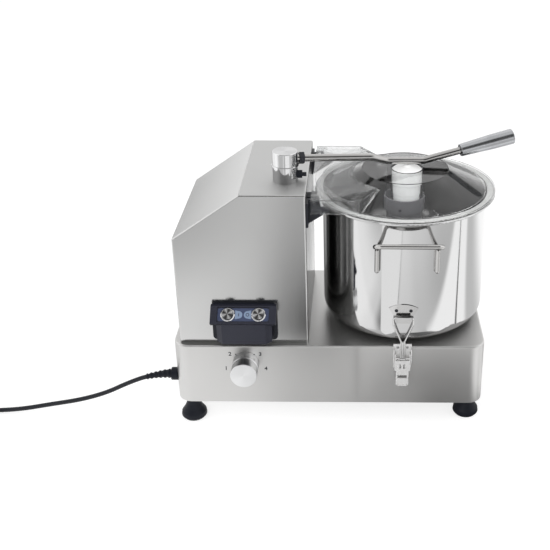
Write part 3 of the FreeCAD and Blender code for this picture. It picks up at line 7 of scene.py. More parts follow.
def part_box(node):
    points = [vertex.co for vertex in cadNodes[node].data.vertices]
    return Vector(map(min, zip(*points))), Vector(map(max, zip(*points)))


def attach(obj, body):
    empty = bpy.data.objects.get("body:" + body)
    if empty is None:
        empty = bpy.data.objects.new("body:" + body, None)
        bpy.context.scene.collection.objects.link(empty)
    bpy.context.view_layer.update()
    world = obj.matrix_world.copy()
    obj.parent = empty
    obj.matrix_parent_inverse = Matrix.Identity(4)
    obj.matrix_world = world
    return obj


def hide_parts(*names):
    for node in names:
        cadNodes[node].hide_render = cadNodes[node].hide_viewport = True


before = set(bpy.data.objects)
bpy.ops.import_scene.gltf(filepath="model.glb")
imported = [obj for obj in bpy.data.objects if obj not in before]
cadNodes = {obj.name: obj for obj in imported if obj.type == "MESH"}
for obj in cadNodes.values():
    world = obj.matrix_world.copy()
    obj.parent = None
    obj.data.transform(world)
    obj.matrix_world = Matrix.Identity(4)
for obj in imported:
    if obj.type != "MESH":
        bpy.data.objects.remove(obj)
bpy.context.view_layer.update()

print("frame loaded:", len(cadNodes), "nodes")


def addNode(tree, kind, fed=None, **settings):
    # fed fills inputs, each with a plain value or with what another node gives
    node = tree.nodes.new(kind)
    for key, value in settings.items():
        setattr(node, key, value)
    for key, value in (fed or {}).items():
        if isinstance(value, bpy.types.NodeSocket):
            tree.links.new(value, node.inputs[key])
        else:
            node.inputs[key].default_value = value
    return node


def join(tree, output, target):
    tree.links.new(output, target)


def keepObject(name, data):
    thing = bpy.data.objects.new(name, data)
    bpy.context.scene.collection.objects.link(thing)
    return thing


def cornersOf(name):
    return [Vector(corner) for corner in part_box(name)]


def middleOf(name):
    low, high = cornersOf(name)
    return (low + high) / 2


# the photograph's own viewpoint

photoCamera = {
    "frame": 550,                        # pixels each way
    "axisPixel": (349.2, 232.7),         # where the lens axis meets the photograph
    "focalPixels": 927.7,
    "place": (0.0204, -1.4988, 1.0227),
    "lookDown": 0.4431,                  # radians below level
    "turn": 0.0097,
}


def makeCamera():
    lens = bpy.data.cameras.new("photo camera")
    lens.sensor_width = 36
    size = photoCamera["frame"]
    lens.lens = photoCamera["focalPixels"] / size * lens.sensor_width
    lens.shift_x = (size / 2 - photoCamera["axisPixel"][0]) / size
    lens.shift_y = (photoCamera["axisPixel"][1] - size / 2) / size
    lens.clip_start = 0.01
    camera = keepObject("photo camera", lens)
    camera.location = photoCamera["place"]
    camera.rotation_euler = (math.pi / 2 - photoCamera["lookDown"], 0, photoCamera["turn"])
    bpy.context.scene.camera = camera


makeCamera()
bpy.context.scene.view_settings.view_transform = "Standard"
print("camera placed")


# white sweep and soft lamps; painted reflections that only metal sees: a dark band in front in the world, and
# darker patches painted on the floor

studio = {
    "floorSize": 14.0,
    "skyLevel": 0.77,          # light from all round
    "keyPower": 36.0,          # big soft lamp in front of the bench
    "sidePower": 7.0,
    "paperSeen": 0.42,         # the floor as the camera sees it, and its own glow
    "paperGlow": 0.70,
    "paperMatt": 0.80,         # the floor as light finds it
    # painted shade: what metal sees in reflections of reflections gets darker at each bounce
    "paintedShadePerBounce": 0.48,
}
bowlCard = {"x": 0.0204, "near": -0.20, "far": -1.4, "high": 0.5, "tone": 0.90}

# pairs below are where something fades in, from nothing at the first number to all of it at the second
# painted reflections that only metal sees: a dark band ahead and bright bands at the sides in the world, and a
# darker far floor
paintedDarkAhead = {"tone": 0.08, "ahead": (0.05, -0.45), "foot": (0.06, 0.28), "top": (0.93, 0.80)}
paintedBrightSides = {"tone": 1.08, "beside": (0.62, 0.74), "foot": (0.10, 0.22)}
farFloor = {"tone": 0.38, "fade": (0.9, 1.6)}
paintedDarkStreak = {                  # painted reflection: a thin dark streak on the floor that only metal sees, which shows as one thin dark line at the right in the bowl
    "x": 0.103,
    "across": (0.139, 0.990),
    "away": 0.094,
    "edge": (0.015, 0.007),
    "begin": (0.27, 0.33),
    "tone": 0.16,
}

# stops are (place, tone) of painted reflection tones that only metal sees: the sky's by height, the floor's along x
skyTones = [(-1.0, 0.40), (-0.12, 0.12), (-0.03, 0.30), (0.0, 0.92), (0.05, 1.22), (0.18, 1.02), (0.36, 0.74),
            (0.50, 0.82), (0.80, 0.96), (1.0, 0.70)]
baseTones = [(-0.60, 1.0), (-0.33, 1.0), (-0.22, 0.90), (-0.06, 0.56), (0.09, 0.32), (0.18, 0.12), (0.27, 0.16),
             (0.30, 0.40), (0.33, 1.06), (0.90, 1.06)]
frontTones = [(-0.60, 0.94), (-0.36, 0.92), (-0.22, 0.74), (-0.13, 0.28), (-0.08, 0.06), (0.01, 0.10),
              (0.04, 0.74), (0.14, 0.72), (0.28, 0.62), (0.60, 0.52), (0.90, 0.56)]
farTones = [(-0.60, 0.50), (-0.45, 0.54), (-0.25, 0.72), (-0.13, 0.42), (0.01, 0.50), (0.05, 0.84), (0.30, 0.74),
            (0.90, 0.62)]
sideTones = [(-0.90, 0.9), (-0.50, 0.80), (-0.30, 0.14), (0.00, 0.10), (0.14, 0.4), (0.26, 0.60), (0.90, 0.62)]
backTones = [(-0.90, 0.9), (-0.50, 0.80), (-0.30, 0.14), (-0.11, 0.12), (-0.07, 1.08), (-0.016, 1.08),
             (0.006, 0.10), (0.14, 0.6), (0.26, 1.10), (0.90, 1.15)]
floorRuns = [((-0.36, -0.43), frontTones), ((-0.44, -0.95), farTones), ((-0.06, 0.02), sideTones),
             ((0.10, 0.50), backTones)]


def grey(tone):
    return (tone, tone, tone, 1)


def addRamp(tree, source, stops):
    # a grey for each place along a line, stops as (place, tone)
    low, high = stops[0][0], stops[-1][0]
    spread = addNode(tree, "ShaderNodeMapRange", {"Value": source, "From Min": low, "From Max": high})
    tones = addNode(tree, "ShaderNodeValToRGB", {0: spread.outputs["Result"]})
    ramp = tones.color_ramp
    ramp.interpolation = "EASE"
    ramp.elements[0].color = grey(stops[0][1])
    ramp.elements[1].color = grey(stops[-1][1])
    for place, tone in stops[1:-1]:
        ramp.elements.new((place - low) / (high - low)).color = grey(tone)
    return tones.outputs["Color"]


def smoothStep(tree, source, start, end):
    step = addNode(tree, "ShaderNodeMapRange", {"Value": source, "From Min": start, "From Max": end},
                   interpolation_type="SMOOTHSTEP")
    return step.outputs["Result"]


def doMath(tree, operation, first, second=0.0):
    return addNode(tree, "ShaderNodeMath", {0: first, 1: second}, operation=operation).outputs[0]


def splitAxes(tree, vector):
    return tuple(addNode(tree, "ShaderNodeSeparateXYZ", {0: vector}).outputs)


def blendTones(tree, factor, first, second):
    # the second tone may be one plain grey
    if isinstance(second, float):
        second = grey(second)
    mix = addNode(tree, "ShaderNodeMix", {"Factor": factor, "A": first, "B": second}, data_type="RGBA")
    return mix.outputs["Result"]


def whoLooks(tree):
    # 1 where metal looks, then 1 where the camera looks, straight or through the lid, then painted shade that
    # darkens what metal sees after each further bounce
    path = addNode(tree, "ShaderNodeLightPath").outputs
    direct = doMath(tree, "SUBTRACT", 1.0, smoothStep(tree, path["Glossy Depth"], 0.4, 0.6))
    through = doMath(tree, "MULTIPLY", path["Is Transmission Ray"], direct)
    seen = doMath(tree, "MAXIMUM", path["Is Camera Ray"], through)
    bounces = doMath(tree, "MAXIMUM", doMath(tree, "SUBTRACT", path["Glossy Depth"], 1.0), 0.0)
    return path["Is Glossy Ray"], seen, doMath(tree, "POWER", studio["paintedShadePerBounce"], bounces)


def chooseByRay(tree, glossy, seen, matt, metal, camera):
    first = addNode(tree, "ShaderNodeMixShader", {0: glossy, 1: matt.outputs[0], 2: metal.outputs[0]})
    return addNode(tree, "ShaderNodeMixShader", {0: seen, 1: first.outputs[0], 2: camera.outputs[0]}).outputs[0]


def emptyTree(owner):
    owner.use_nodes = True
    owner.node_tree.nodes.clear()
    return owner.node_tree


def makeWorld():
    world = bpy.data.worlds.new("studio")
    tree = emptyTree(world)
    glossyRay, seen, bounceShade = whoLooks(tree)
    x, y, z = splitAxes(tree, addNode(tree, "ShaderNodeTexCoord").outputs["Generated"])

    # painted reflection: a dark band ahead and bright bands at the sides, seen by glossy rays alone
    raised = doMath(tree, "MULTIPLY", smoothStep(tree, z, *paintedDarkAhead["foot"]),
                    smoothStep(tree, z, *paintedDarkAhead["top"]))
    room = doMath(tree, "MULTIPLY", smoothStep(tree, y, *paintedDarkAhead["ahead"]), raised)
    tone = blendTones(tree, room, addRamp(tree, z, skyTones), paintedDarkAhead["tone"])
    beside = smoothStep(tree, doMath(tree, "ABSOLUTE", x), *paintedBrightSides["beside"])
    window = doMath(tree, "MULTIPLY", beside, smoothStep(tree, z, *paintedBrightSides["foot"]))
    tone = blendTones(tree, window, tone, paintedBrightSides["tone"])

    plain = addNode(tree, "ShaderNodeBackground", {"Color": grey(1), "Strength": studio["skyLevel"]})
    metal = addNode(tree, "ShaderNodeBackground", {"Color": tone, "Strength": bounceShade})
    backdrop = addNode(tree, "ShaderNodeBackground", {"Color": grey(1)})
    shader = chooseByRay(tree, glossyRay, seen, plain, metal, backdrop)
    addNode(tree, "ShaderNodeOutputWorld", {"Surface": shader})
    bpy.context.scene.world = world


def makeFloor():
    half = studio["floorSize"] / 2
    mesh = bpy.data.meshes.new("floor")
    corners = [(-half, -half, 0), (half, -half, 0), (half, half, 0), (-half, half, 0)]
    mesh.from_pydata(corners, [], [(0, 1, 2, 3)])
    floor = keepObject("floor", mesh)
    paper = bpy.data.materials.new("pale floor")
    tree = emptyTree(paper)
    glossyRay, seen, bounceShade = whoLooks(tree)
    x, y = splitAxes(tree, addNode(tree, "ShaderNodeTexCoord").outputs["Object"])[:2]

    # painted reflections that only metal sees: each run of tones takes over from the one before it
    tone = addRamp(tree, x, baseTones)
    for fade, tones in floorRuns:
        tone = blendTones(tree, smoothStep(tree, y, *fade), tone, addRamp(tree, x, tones))
    tone = blendTones(tree, smoothStep(tree, y, *farFloor["fade"]), tone, farFloor["tone"])

    # painted reflection: a thin dark streak on the floor, seen by glossy rays alone
    foot = paintedDarkStreak
    aside = doMath(tree, "MULTIPLY", doMath(tree, "SUBTRACT", x, foot["x"]), foot["across"][0])
    aside = doMath(tree, "ADD", aside, doMath(tree, "MULTIPLY", y, foot["across"][1]))
    off = doMath(tree, "ABSOLUTE", doMath(tree, "ADD", aside, foot["away"]))
    line = doMath(tree, "MULTIPLY", smoothStep(tree, off, *foot["edge"]), smoothStep(tree, x, *foot["begin"]))
    tone = blendTones(tree, line, tone, foot["tone"])

    lit = addNode(tree, "ShaderNodeBsdfDiffuse", {"Color": grey(studio["paperSeen"])})
    glow = addNode(tree, "ShaderNodeEmission", {"Color": grey(1), "Strength": studio["paperGlow"]})
    camera = addNode(tree, "ShaderNodeAddShader", {0: lit.outputs[0], 1: glow.outputs[0]})
    metal = addNode(tree, "ShaderNodeEmission", {"Color": tone, "Strength": bounceShade})
    matt = addNode(tree, "ShaderNodeBsdfDiffuse", {"Color": grey(studio["paperMatt"])})
    shader = chooseByRay(tree, glossyRay, seen, matt, metal, camera)
    addNode(tree, "ShaderNodeOutputMaterial", {"Surface": shader})
    mesh.materials.append(paper)


def makeLamp(name, place, aim, size, power):
    lamp = bpy.data.lights.new(name, "AREA")
    lamp.shape = "RECTANGLE"
    lamp.size, lamp.size_y = size
    lamp.energy = power
    holder = keepObject(name, lamp)
    holder.location = place
    holder.rotation_euler = (Vector(aim) - Vector(place)).to_track_quat("-Z", "Y").to_euler()
    holder.visible_glossy = False


def makeCard():
    # a glowing card that nothing but metal sees
    x, near, far, high = (bowlCard[key] for key in ("x", "near", "far", "high"))
    mesh = bpy.data.meshes.new("card beside the bowl")
    mesh.from_pydata([(x, near, 0), (x, far, 0), (x, far, high), (x, near, high)], [], [(0, 1, 2, 3)])
    card = keepObject("card beside the bowl", mesh)
    board = bpy.data.materials.new("card beside the bowl")
    tree = emptyTree(board)
    glow = addNode(tree, "ShaderNodeEmission", {"Color": grey(bowlCard["tone"])})
    addNode(tree, "ShaderNodeOutputMaterial", {"Surface": glow.outputs[0]})
    mesh.materials.append(board)
    for ray in ("camera", "diffuse", "transmission", "shadow"):
        setattr(card, "visible_" + ray, False)


makeWorld()
makeFloor()
makeLamp("lamp in front", (-0.4, -2.4, 1.25), (0, 0, 0.3), (2.2, 1.6), studio["keyPower"])
makeLamp("lamp at the left", (-2.0, -0.9, 1.1), (0, 0, 0.25), (1.2, 1.2), studio["sidePower"])
makeLamp("lamp at the right", (2.0, -0.6, 1.2), (0, 0, 0.25), (1.0, 1.2), studio["sidePower"])
makeCard()
print("studio set")


def newGroup(name, inputs, outputs):
    # each group works on a vector; an input that starts as one number is a plain value
    group = bpy.data.node_groups.new(name, "ShaderNodeTree")
    for socketName, value in {"Vector": (0, 0, 0), **inputs}.items():
        kind = "NodeSocketFloat" if isinstance(value, float) else "NodeSocketVector"
        group.interface.new_socket(socketName, in_out="INPUT", socket_type=kind).default_value = value
    for socketName in outputs:
        group.interface.new_socket(socketName, in_out="OUTPUT", socket_type="NodeSocketFloat")
    return group, addNode(group, "NodeGroupInput").outputs


def makeGrainGroup():
    # long scratches of a brushed or drawn surface: Stretch is lines per metre along each axis
    group, given = newGroup("brushed grain", {"Stretch": (2000, 2000, 20)}, ["Lines"])
    scaled = addNode(group, "ShaderNodeVectorMath", {0: given["Vector"], 1: given["Stretch"]},
                     operation="MULTIPLY")
    fine = addNode(group, "ShaderNodeTexNoise",
                   {"Vector": scaled.outputs[0], "Scale": 1.0, "Detail": 3.0, "Roughness": 0.65})
    addNode(group, "NodeGroupOutput", {"Lines": fine.outputs["Fac"]})
    return group


def makeRingGroup():
    # fine rings left by a lathe, round the z axis of the vector it gets, and painted sheen: sectors painted light
    # and dark, as the cross-shaped sheen of turned metal
    group, given = newGroup("turned rings", {"Rings": 1500.0, "Spokes": 4.0, "Sectors": 2.0}, ["Rings", "Spokes"])
    x, y, z = splitAxes(group, given["Vector"])
    flat = addNode(group, "ShaderNodeCombineXYZ", {"X": x, "Y": y})
    radius = addNode(group, "ShaderNodeVectorMath", {0: flat.outputs[0]}, operation="LENGTH")
    spot = addNode(group, "ShaderNodeCombineXYZ", {"X": radius.outputs["Value"], "Y": z})
    fine = addNode(group, "ShaderNodeTexNoise",
                   {"Vector": spot.outputs[0], "Scale": given["Rings"], "Detail": 2.0})
    around = doMath(group, "MULTIPLY", doMath(group, "ARCTAN2", y, x), given["Sectors"])
    half = addNode(group, "ShaderNodeMapRange", {"Value": doMath(group, "SINE", around), "From Min": -1.0})
    sheenSpokes = doMath(group, "POWER", half.outputs["Result"], given["Spokes"])
    addNode(group, "NodeGroupOutput", {"Rings": fine.outputs["Fac"], "Spokes": sheenSpokes})
    return group


def makeMouldGroup():
    # the small pebbles of a moulded surface, and a slow change over it
    group, given = newGroup("moulded skin", {"Grain": 1200.0, "Patches": 12.0}, ["Pebbles", "Patches"])
    pebble = addNode(group, "ShaderNodeTexVoronoi", {"Vector": given["Vector"], "Scale": given["Grain"]},
                     feature="SMOOTH_F1")
    patch = addNode(group, "ShaderNodeTexNoise",
                    {"Vector": given["Vector"], "Scale": given["Patches"], "Detail": 4.0})
    addNode(group, "NodeGroupOutput", {"Pebbles": pebble.outputs["Distance"], "Patches": patch.outputs["Fac"]})
    return group


def makeMarkGroup():
    # finger marks and wipe haze, as a mask from 0 to 1
    group, given = newGroup("handling marks", {"Size": 9.0}, ["Mask"])
    blot = addNode(group, "ShaderNodeTexNoise", {
        "Vector": given["Vector"], "Scale": given["Size"], "Detail": 5.0, "Roughness": 0.55, "Distortion": 0.8})
    addNode(group, "NodeGroupOutput", {"Mask": smoothStep(group, blot.outputs["Fac"], 0.46, 0.72)})
    return group


grainGroup = makeGrainGroup()
ringGroup = makeRingGroup()
mouldGroup = makeMouldGroup()
markGroup = makeMarkGroup()


def startMaterial(name, look, metallic):
    material = bpy.data.materials.new(name)
    material.use_nodes = True
    tree = material.node_tree
    shader = tree.nodes["Principled BSDF"]
    shader.inputs["Base Color"].default_value = (*look["colour"], 1)
    shader.inputs["Metallic"].default_value = look.get("metallic", metallic)
    shader.inputs["Roughness"].default_value = look["roughness"]
    return material, tree, shader, addNode(tree, "ShaderNodeTexCoord").outputs["Object"]


def useGroup(tree, group, vector, **values):
    return addNode(tree, "ShaderNodeGroup", {"Vector": vector, **values}, node_tree=group).outputs


def spreadValue(tree, source, low, high):
    return addNode(tree, "ShaderNodeMapRange", {"Value": source, "To Min": low, "To Max": high}).outputs["Result"]


def tintBase(tree, shader, factor, first, second):
    mix = addNode(tree, "ShaderNodeMix", {"Factor": factor, "A": (*first, 1), "B": (*second, 1)},
                  data_type="RGBA")
    join(tree, mix.outputs["Result"], shader.inputs["Base Color"])


def addBump(tree, shader, height, distance):
    bump = addNode(tree, "ShaderNodeBump", {"Strength": 1.0, "Distance": distance, "Height": height})
    join(tree, bump.outputs["Normal"], shader.inputs["Normal"])


def roughAround(tree, source, look):
    return spreadValue(tree, source, look["roughness"] - look["spread"], look["roughness"] + look["spread"])


def roughUnderMarks(tree, shader, place, look):
    marks = useGroup(tree, markGroup, place, Size=look["marks"])
    rough = spreadValue(tree, marks["Mask"], look["roughness"], look["roughness"] + look["haze"])
    join(tree, rough, shader.inputs["Roughness"])


def darkened(look):
    return tuple(part * look["depth"] for part in look["colour"])


def brushedSteel(name, look):
    material, tree, shader, place = startMaterial(name, look, 1.0)
    lines = useGroup(tree, grainGroup, place, Stretch=look["stretch"])["Lines"]
    marks = useGroup(tree, markGroup, place, Size=look["marks"])
    tintBase(tree, shader, lines, darkened(look), look["colour"])
    rough = roughAround(tree, lines, look)
    hazed = addNode(tree, "ShaderNodeMath", {0: marks["Mask"], 1: look["haze"], 2: rough}, operation="MULTIPLY_ADD")
    finish = hazed.outputs[0]
    if "roof" in look:
        # above that height the sheet is duller
        roof = smoothStep(tree, splitAxes(tree, place)[2], look["roof"] - look["roofEdge"], look["roof"])
        finish = doMath(tree, "ADD", finish, doMath(tree, "MULTIPLY", roof, look["roofHaze"]))
    join(tree, finish, shader.inputs["Roughness"])
    addBump(tree, shader, lines, look["scratch"])
    return material


def turnedMetal(name, look, centre, axisTurn=(0, 0, 0)):
    material, tree, shader, place = startMaterial(name, look, 1.0)
    centred = addNode(tree, "ShaderNodeMapping", {"Vector": place, "Location": centre, "Rotation": axisTurn},
                      vector_type="TEXTURE")
    rings = useGroup(tree, ringGroup, centred.outputs[0], Rings=look["rings"], Spokes=look["sheenSpokes"],
                     Sectors=look["sectors"])
    # painted sheen: the base colour is darker in sectors round the axis
    tintBase(tree, shader, rings["Spokes"], darkened(look), look["colour"])
    join(tree, roughAround(tree, rings["Rings"], look), shader.inputs["Roughness"])
    addBump(tree, shader, rings["Rings"], look["scratch"])
    return material


def mouldedSkin(name, look):
    material, tree, shader, place = startMaterial(name, look, 0.0)
    shader.inputs["Specular IOR Level"].default_value = look.get("shine", 0.5)
    skin = useGroup(tree, mouldGroup, place, Grain=look["grain"], Patches=look["patches"])
    lighter = tuple(min(1.0, part * look["fade"] + look["lift"]) for part in look["colour"])
    tintBase(tree, shader, skin["Patches"], look["colour"], lighter)
    roughUnderMarks(tree, shader, place, look)
    addBump(tree, shader, skin["Pebbles"], look["relief"])
    return material


def clearPlastic(name, look):
    material, tree, shader, place = startMaterial(name, look, 0.0)
    shader.inputs["Transmission Weight"].default_value = 1.0
    shader.inputs["IOR"].default_value = look["ior"]
    roughUnderMarks(tree, shader, place, look)
    skin = useGroup(tree, mouldGroup, place, Patches=look["patches"])
    addBump(tree, shader, skin["Patches"], look["relief"])

    # light reaches what is under the lid
    path = addNode(tree, "ShaderNodeLightPath").outputs
    lights = doMath(tree, "MAXIMUM", path["Is Shadow Ray"], path["Is Diffuse Ray"])
    through = addNode(tree, "ShaderNodeBsdfTransparent", {"Color": (*look["through"], 1)})
    mix = addNode(tree, "ShaderNodeMixShader", {
        0: doMath(tree, "MAXIMUM", lights, look["bare"]), 1: shader.outputs[0], 2: through.outputs[0]})
    join(tree, mix.outputs[0], tree.nodes["Material Output"].inputs["Surface"])
    return material


def paint(piece, material):
    if not piece.material_slots:
        piece.data.materials.append(material)
    for place in piece.material_slots:
        place.material = material


sheetLook = {"colour": (0.72, 0.72, 0.715), "roughness": 0.17, "spread": 0.05, "stretch": (2600, 2600, 26),
             "marks": 7.0, "depth": 0.95, "haze": 0.03, "scratch": 0.000003}
baseLook = dict(sheetLook, colour=(0.72, 0.715, 0.705), roughness=0.36, depth=0.97, metallic=0.95)
bowlLook = {"colour": (0.80, 0.80, 0.80), "roughness": 0.06, "spread": 0.05, "stretch": (60, 60, 2600),
            "marks": 6.0, "depth": 0.94, "haze": 0.04, "scratch": 0.000002}
pressedLook = dict(bowlLook, colour=(0.74, 0.735, 0.73), roughness=0.16, stretch=(900, 900, 900), scratch=0.00001)
latchLook = dict(pressedLook, colour=(0.84, 0.835, 0.83), roughness=0.14, metallic=0.55)
loopLook = dict(pressedLook, colour=(0.88, 0.875, 0.87), roughness=0.09)
wireLook = dict(pressedLook, colour=(0.66, 0.65, 0.64), roughness=0.09)
rodLook = dict(sheetLook, colour=(0.58, 0.57, 0.56), roughness=0.16, stretch=(60, 2500, 2500))
bladeLook = dict(sheetLook, colour=(0.74, 0.74, 0.74), roughness=0.18, stretch=(1800, 200, 2600))
shaftLook = dict(sheetLook, colour=(0.62, 0.62, 0.62), roughness=0.22)
turnedLook = {"colour": (0.93, 0.93, 0.935), "roughness": 0.16, "spread": 0.06, "rings": 1500.0, "sheenSpokes": 1.0,
              "sectors": 2.0, "depth": 0.9, "scratch": 0.000015}
knobLook = dict(turnedLook, colour=(0.98, 0.985, 0.99), roughness=0.30, sheenSpokes=2.0, depth=0.93)
gripLook = dict(turnedLook, colour=(0.60, 0.61, 0.63), roughness=0.22)
castLook = {"colour": (0.42, 0.43, 0.44), "roughness": 0.5, "grain": 700.0, "patches": 20.0, "marks": 8.0,
            "fade": 1.15, "lift": 0.0, "haze": 0.1, "relief": 0.0002, "metallic": 0.9}
hubLook = {"colour": (0.125, 0.125, 0.135), "roughness": 0.36, "grain": 1600.0, "patches": 30.0, "marks": 14.0,
           "fade": 1.12, "lift": 0.004, "haze": 0.1, "relief": 0.00004}
whiteLook = {"colour": (0.93, 0.93, 0.925), "roughness": 0.30, "grain": 1800.0, "patches": 20.0, "marks": 16.0,
             "fade": 1.04, "lift": 0.0, "haze": 0.08, "relief": 0.00002}
blackLook = {"colour": (0.007, 0.008, 0.012), "roughness": 0.34, "grain": 1500.0, "patches": 25.0, "marks": 14.0,
             "fade": 1.3, "lift": 0.001, "haze": 0.12, "relief": 0.00005, "shine": 0.3}
paintLook = dict(blackLook, roughness=0.30, grain=2200.0, relief=0.00002, shine=0.4)
boxLook = dict(blackLook, colour=(0.017, 0.018, 0.027), roughness=0.32, shine=0.35)
rubberLook = dict(blackLook, colour=(0.006, 0.007, 0.011), roughness=0.42, relief=0.00006, shine=0.22)
cordLook = dict(blackLook, colour=(0.012, 0.013, 0.016), roughness=0.45, grain=2200.0)
sealLook = dict(whiteLook, colour=(0.74, 0.74, 0.73), roughness=0.5)
clearLook = {"colour": (0.998, 0.999, 1.0), "roughness": 0.0, "ior": 1.45, "bare": 0.0, "marks": 10.0,
             "haze": 0.02, "patches": 26.0, "relief": 0.00002, "through": (0.97, 0.975, 0.975)}
hoodLook = dict(clearLook, bare=0.30)
blockLook = dict(clearLook, relief=0.0001, ior=1.3, bare=0.50)
navyLook = dict(blackLook, colour=(0.036, 0.046, 0.088), roughness=0.40, relief=0.00001)
padLook = dict(whiteLook, colour=(0.17, 0.225, 0.33), roughness=0.38)
inkLook = dict(blackLook, colour=(0.020, 0.022, 0.028), roughness=0.5, relief=0.00001, fade=1.1)

roofLook = dict(sheetLook, roof=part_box("housing_shell")[1][2] - 0.0004, roofEdge=0.0006, roofHaze=0.42)
sheetSteel = brushedSteel("brushed housing steel", roofLook)
baseSteel = brushedSteel("brushed base steel", baseLook)
bowlSteel = brushedSteel("polished bowl steel", bowlLook)
pressedSteel = brushedSteel("bright pressed steel", pressedLook)
latchSteel = brushedSteel("bright latch steel", latchLook)
wireSteel = brushedSteel("polished wire", wireLook)
loopSteel = brushedSteel("polished loop", loopLook)
rodSteel = brushedSteel("drawn bar", rodLook)
bladeSteel = brushedSteel("ground blade", bladeLook)
shaftSteel = brushedSteel("ground shaft", shaftLook)
postSteel = turnedMetal("turned post", dict(turnedLook, roughness=0.09, scratch=0.000004), middleOf("lever_post"))
# painted sheen: four deep dark sectors round each button
buttonLook = dict(turnedLook, roughness=0.20, sheenSpokes=1.6, depth=0.10, sectors=4.0)
panelLean = math.radians(45)
lean = (panelLean, 0, 0)
startSteel = turnedMetal("turned start button", buttonLook, middleOf("start_button"), lean)
stopSteel = turnedMetal("turned stop button", buttonLook, middleOf("stop_button"), lean)
bezelSteel = turnedMetal("turned bezel", dict(turnedLook, roughness=0.14), middleOf("button_bezels"), lean)
knobMetal = turnedMetal("turned dial knob", knobLook, middleOf("speed_knob"), (math.pi / 2, 0, 0))
gripMetal = turnedMetal("turned grip", gripLook, middleOf("lever_grip"))
castMetal = mouldedSkin("sand cast metal", castLook)
hubMetal = mouldedSkin("dark grey anodised hub", hubLook)
whitePlastic = mouldedSkin("white knob plastic", whiteLook)
blackPlastic = mouldedSkin("black moulding", blackLook)
blackPaint = mouldedSkin("black satin paint", paintLook)
boxPlastic = mouldedSkin("blue black moulding", boxLook)
blackRubber = mouldedSkin("black rubber", rubberLook)
cordSkin = mouldedSkin("cord sheath", cordLook)
sealRubber = mouldedSkin("pale seal", sealLook)
navyFilm = mouldedSkin("navy panel film", navyLook)
padFilm = mouldedSkin("light blue pad", padLook)
darkInk = mouldedSkin("printed ink", inkLook)
lidPlastic = clearPlastic("clear lid plastic", clearLook)
hoodPlastic = clearPlastic("clear hood plastic", hoodLook)
blockPlastic = clearPlastic("clear hinge plastic", blockLook)

finishes = {
    "base_shell": baseSteel, "base_floor_plate": baseSteel, "housing_shell": sheetSteel,
    "housing_back_panel": sheetSteel, "motor_body": castMetal, "motor_shaft": shaftSteel,
    "motor_pulley": castMetal, "spindle_pulley": castMetal, "drive_belt": blackRubber,
    "bearing_housing": castMetal, "spindle_bearings": shaftSteel, "bowl_column": bowlSteel, "bowl_rim": bowlSteel,
    "spindle_shaft": shaftSteel, "bowl_seat": pressedSteel, "bowl": bowlSteel, "blade_hub": hubMetal,
    "blade_lower": bladeSteel, "blade_upper": bladeSteel, "hub_grub_screw": blackPaint,
    "lid_dome": lidPlastic, "lid_hood": hoodPlastic, "lid_gasket": sealRubber,
    "hinge_block_front": blockPlastic, "hinge_block_rear": blockPlastic,
    "hinge_bracket_front": blackPaint, "hinge_bracket_rear": blackPaint, "safety_switch": blackPlastic,
    "press_knob": whitePlastic, "lever_post": postSteel, "lever_cap": postSteel, "lever_rod": rodSteel,
    "lever_lock_nut": blackPaint, "lever_grip": gripMetal, "stop_bolt": blackPaint,
    "switch_plate": blackPlastic, "switch_box": boxPlastic, "start_button": startSteel,
    "stop_button": stopSteel, "button_bezels": bezelSteel,
    "speed_knob": knobMetal, "speed_control": blackPlastic, "cord_gland": blackRubber, "plug": blackRubber,
}
for side in ("front", "rear"):
    finishes["bowl_handle_" + side] = wireSteel
    finishes["latch_loop_" + side] = loopSteel
    finishes["latch_keeper_" + side] = pressedSteel
    for part in ("latch_bracket_", "latch_lever_"):
        finishes[part + side] = latchSteel
    for end in ("left", "right"):
        finishes["foot_" + side + "_" + end] = blackRubber
for name, material in finishes.items():
    paint(cadNodes[name], material)
print("finishes on", len(finishes), "nodes")


# mains cord: along the bench, then the put-away coil and its plug, in the source's base-centred millimetres
cordRun = {
    "route": [(-290, -112, 85), (-322, -112, 81), (-362, -112.4, 65), (-405, -112, 42), (-455, -113, 27),
              (-508, -114, 18), (-566, -116, 7.5), (-634, -116.5, 4.2)],
    "toPlug": [(-610, -170.5, 14.2), (-614.5, -149, 17), (-626.5, -133.5, 19.8), (-642, -124, 21.8),
               (-658, -121, 23.6), (-673, -124.5, 24.8), (-684.5, -133, 25.4), (-692, -142.5, 25.4),
               (-694, -151, 25.4), (-694, -163, 25.4)],
    "baseCentre": -27.6,
    "diameter": 0.008,
    "length": 1.8,
}
cordCoil = {
    "centre": (-660, -170.5),
    "pointsPerTurn": 18,
    "start": 90,               # degrees, where the lead comes in
    "end": 1750,
    "outerRadius": 54,
    "pitch": 8,                # one cord beside the next
    "stepOver": 70,            # degrees that a turn takes to move in
    "innerSteps": (380, 740),
    "outerSteps": ((1100, 4), (1460, 8)),
    "climb": 1030,
    "layers": (4.0, 11.4),
}


def easeIn(value):
    value = min(max(value, 0.0), 1.0)
    return value * value * (3 - 2 * value)


def coilPoints():
    coil = cordCoil
    swell = 1 / math.cos(math.pi / coil["pointsPerTurn"])      # the spline runs inside its corners
    angle = coil["start"]
    points = []
    while angle <= coil["end"]:
        radius = coil["outerRadius"]
        for begin in coil["innerSteps"]:
            radius -= coil["pitch"] * easeIn((angle - begin) / coil["stepOver"])
        for begin, shift in coil["outerSteps"]:
            radius += shift * easeIn((angle - begin) / coil["stepOver"])
        low, high = coil["layers"]
        height = low + (high - low) * easeIn((angle - coil["climb"]) / coil["stepOver"])
        x = coil["centre"][0] + radius * swell * math.cos(math.radians(angle))
        y = coil["centre"][1] + radius * swell * math.sin(math.radians(angle))
        points.append((x, y, height))
        angle += 360 / coil["pointsPerTurn"]
    return points


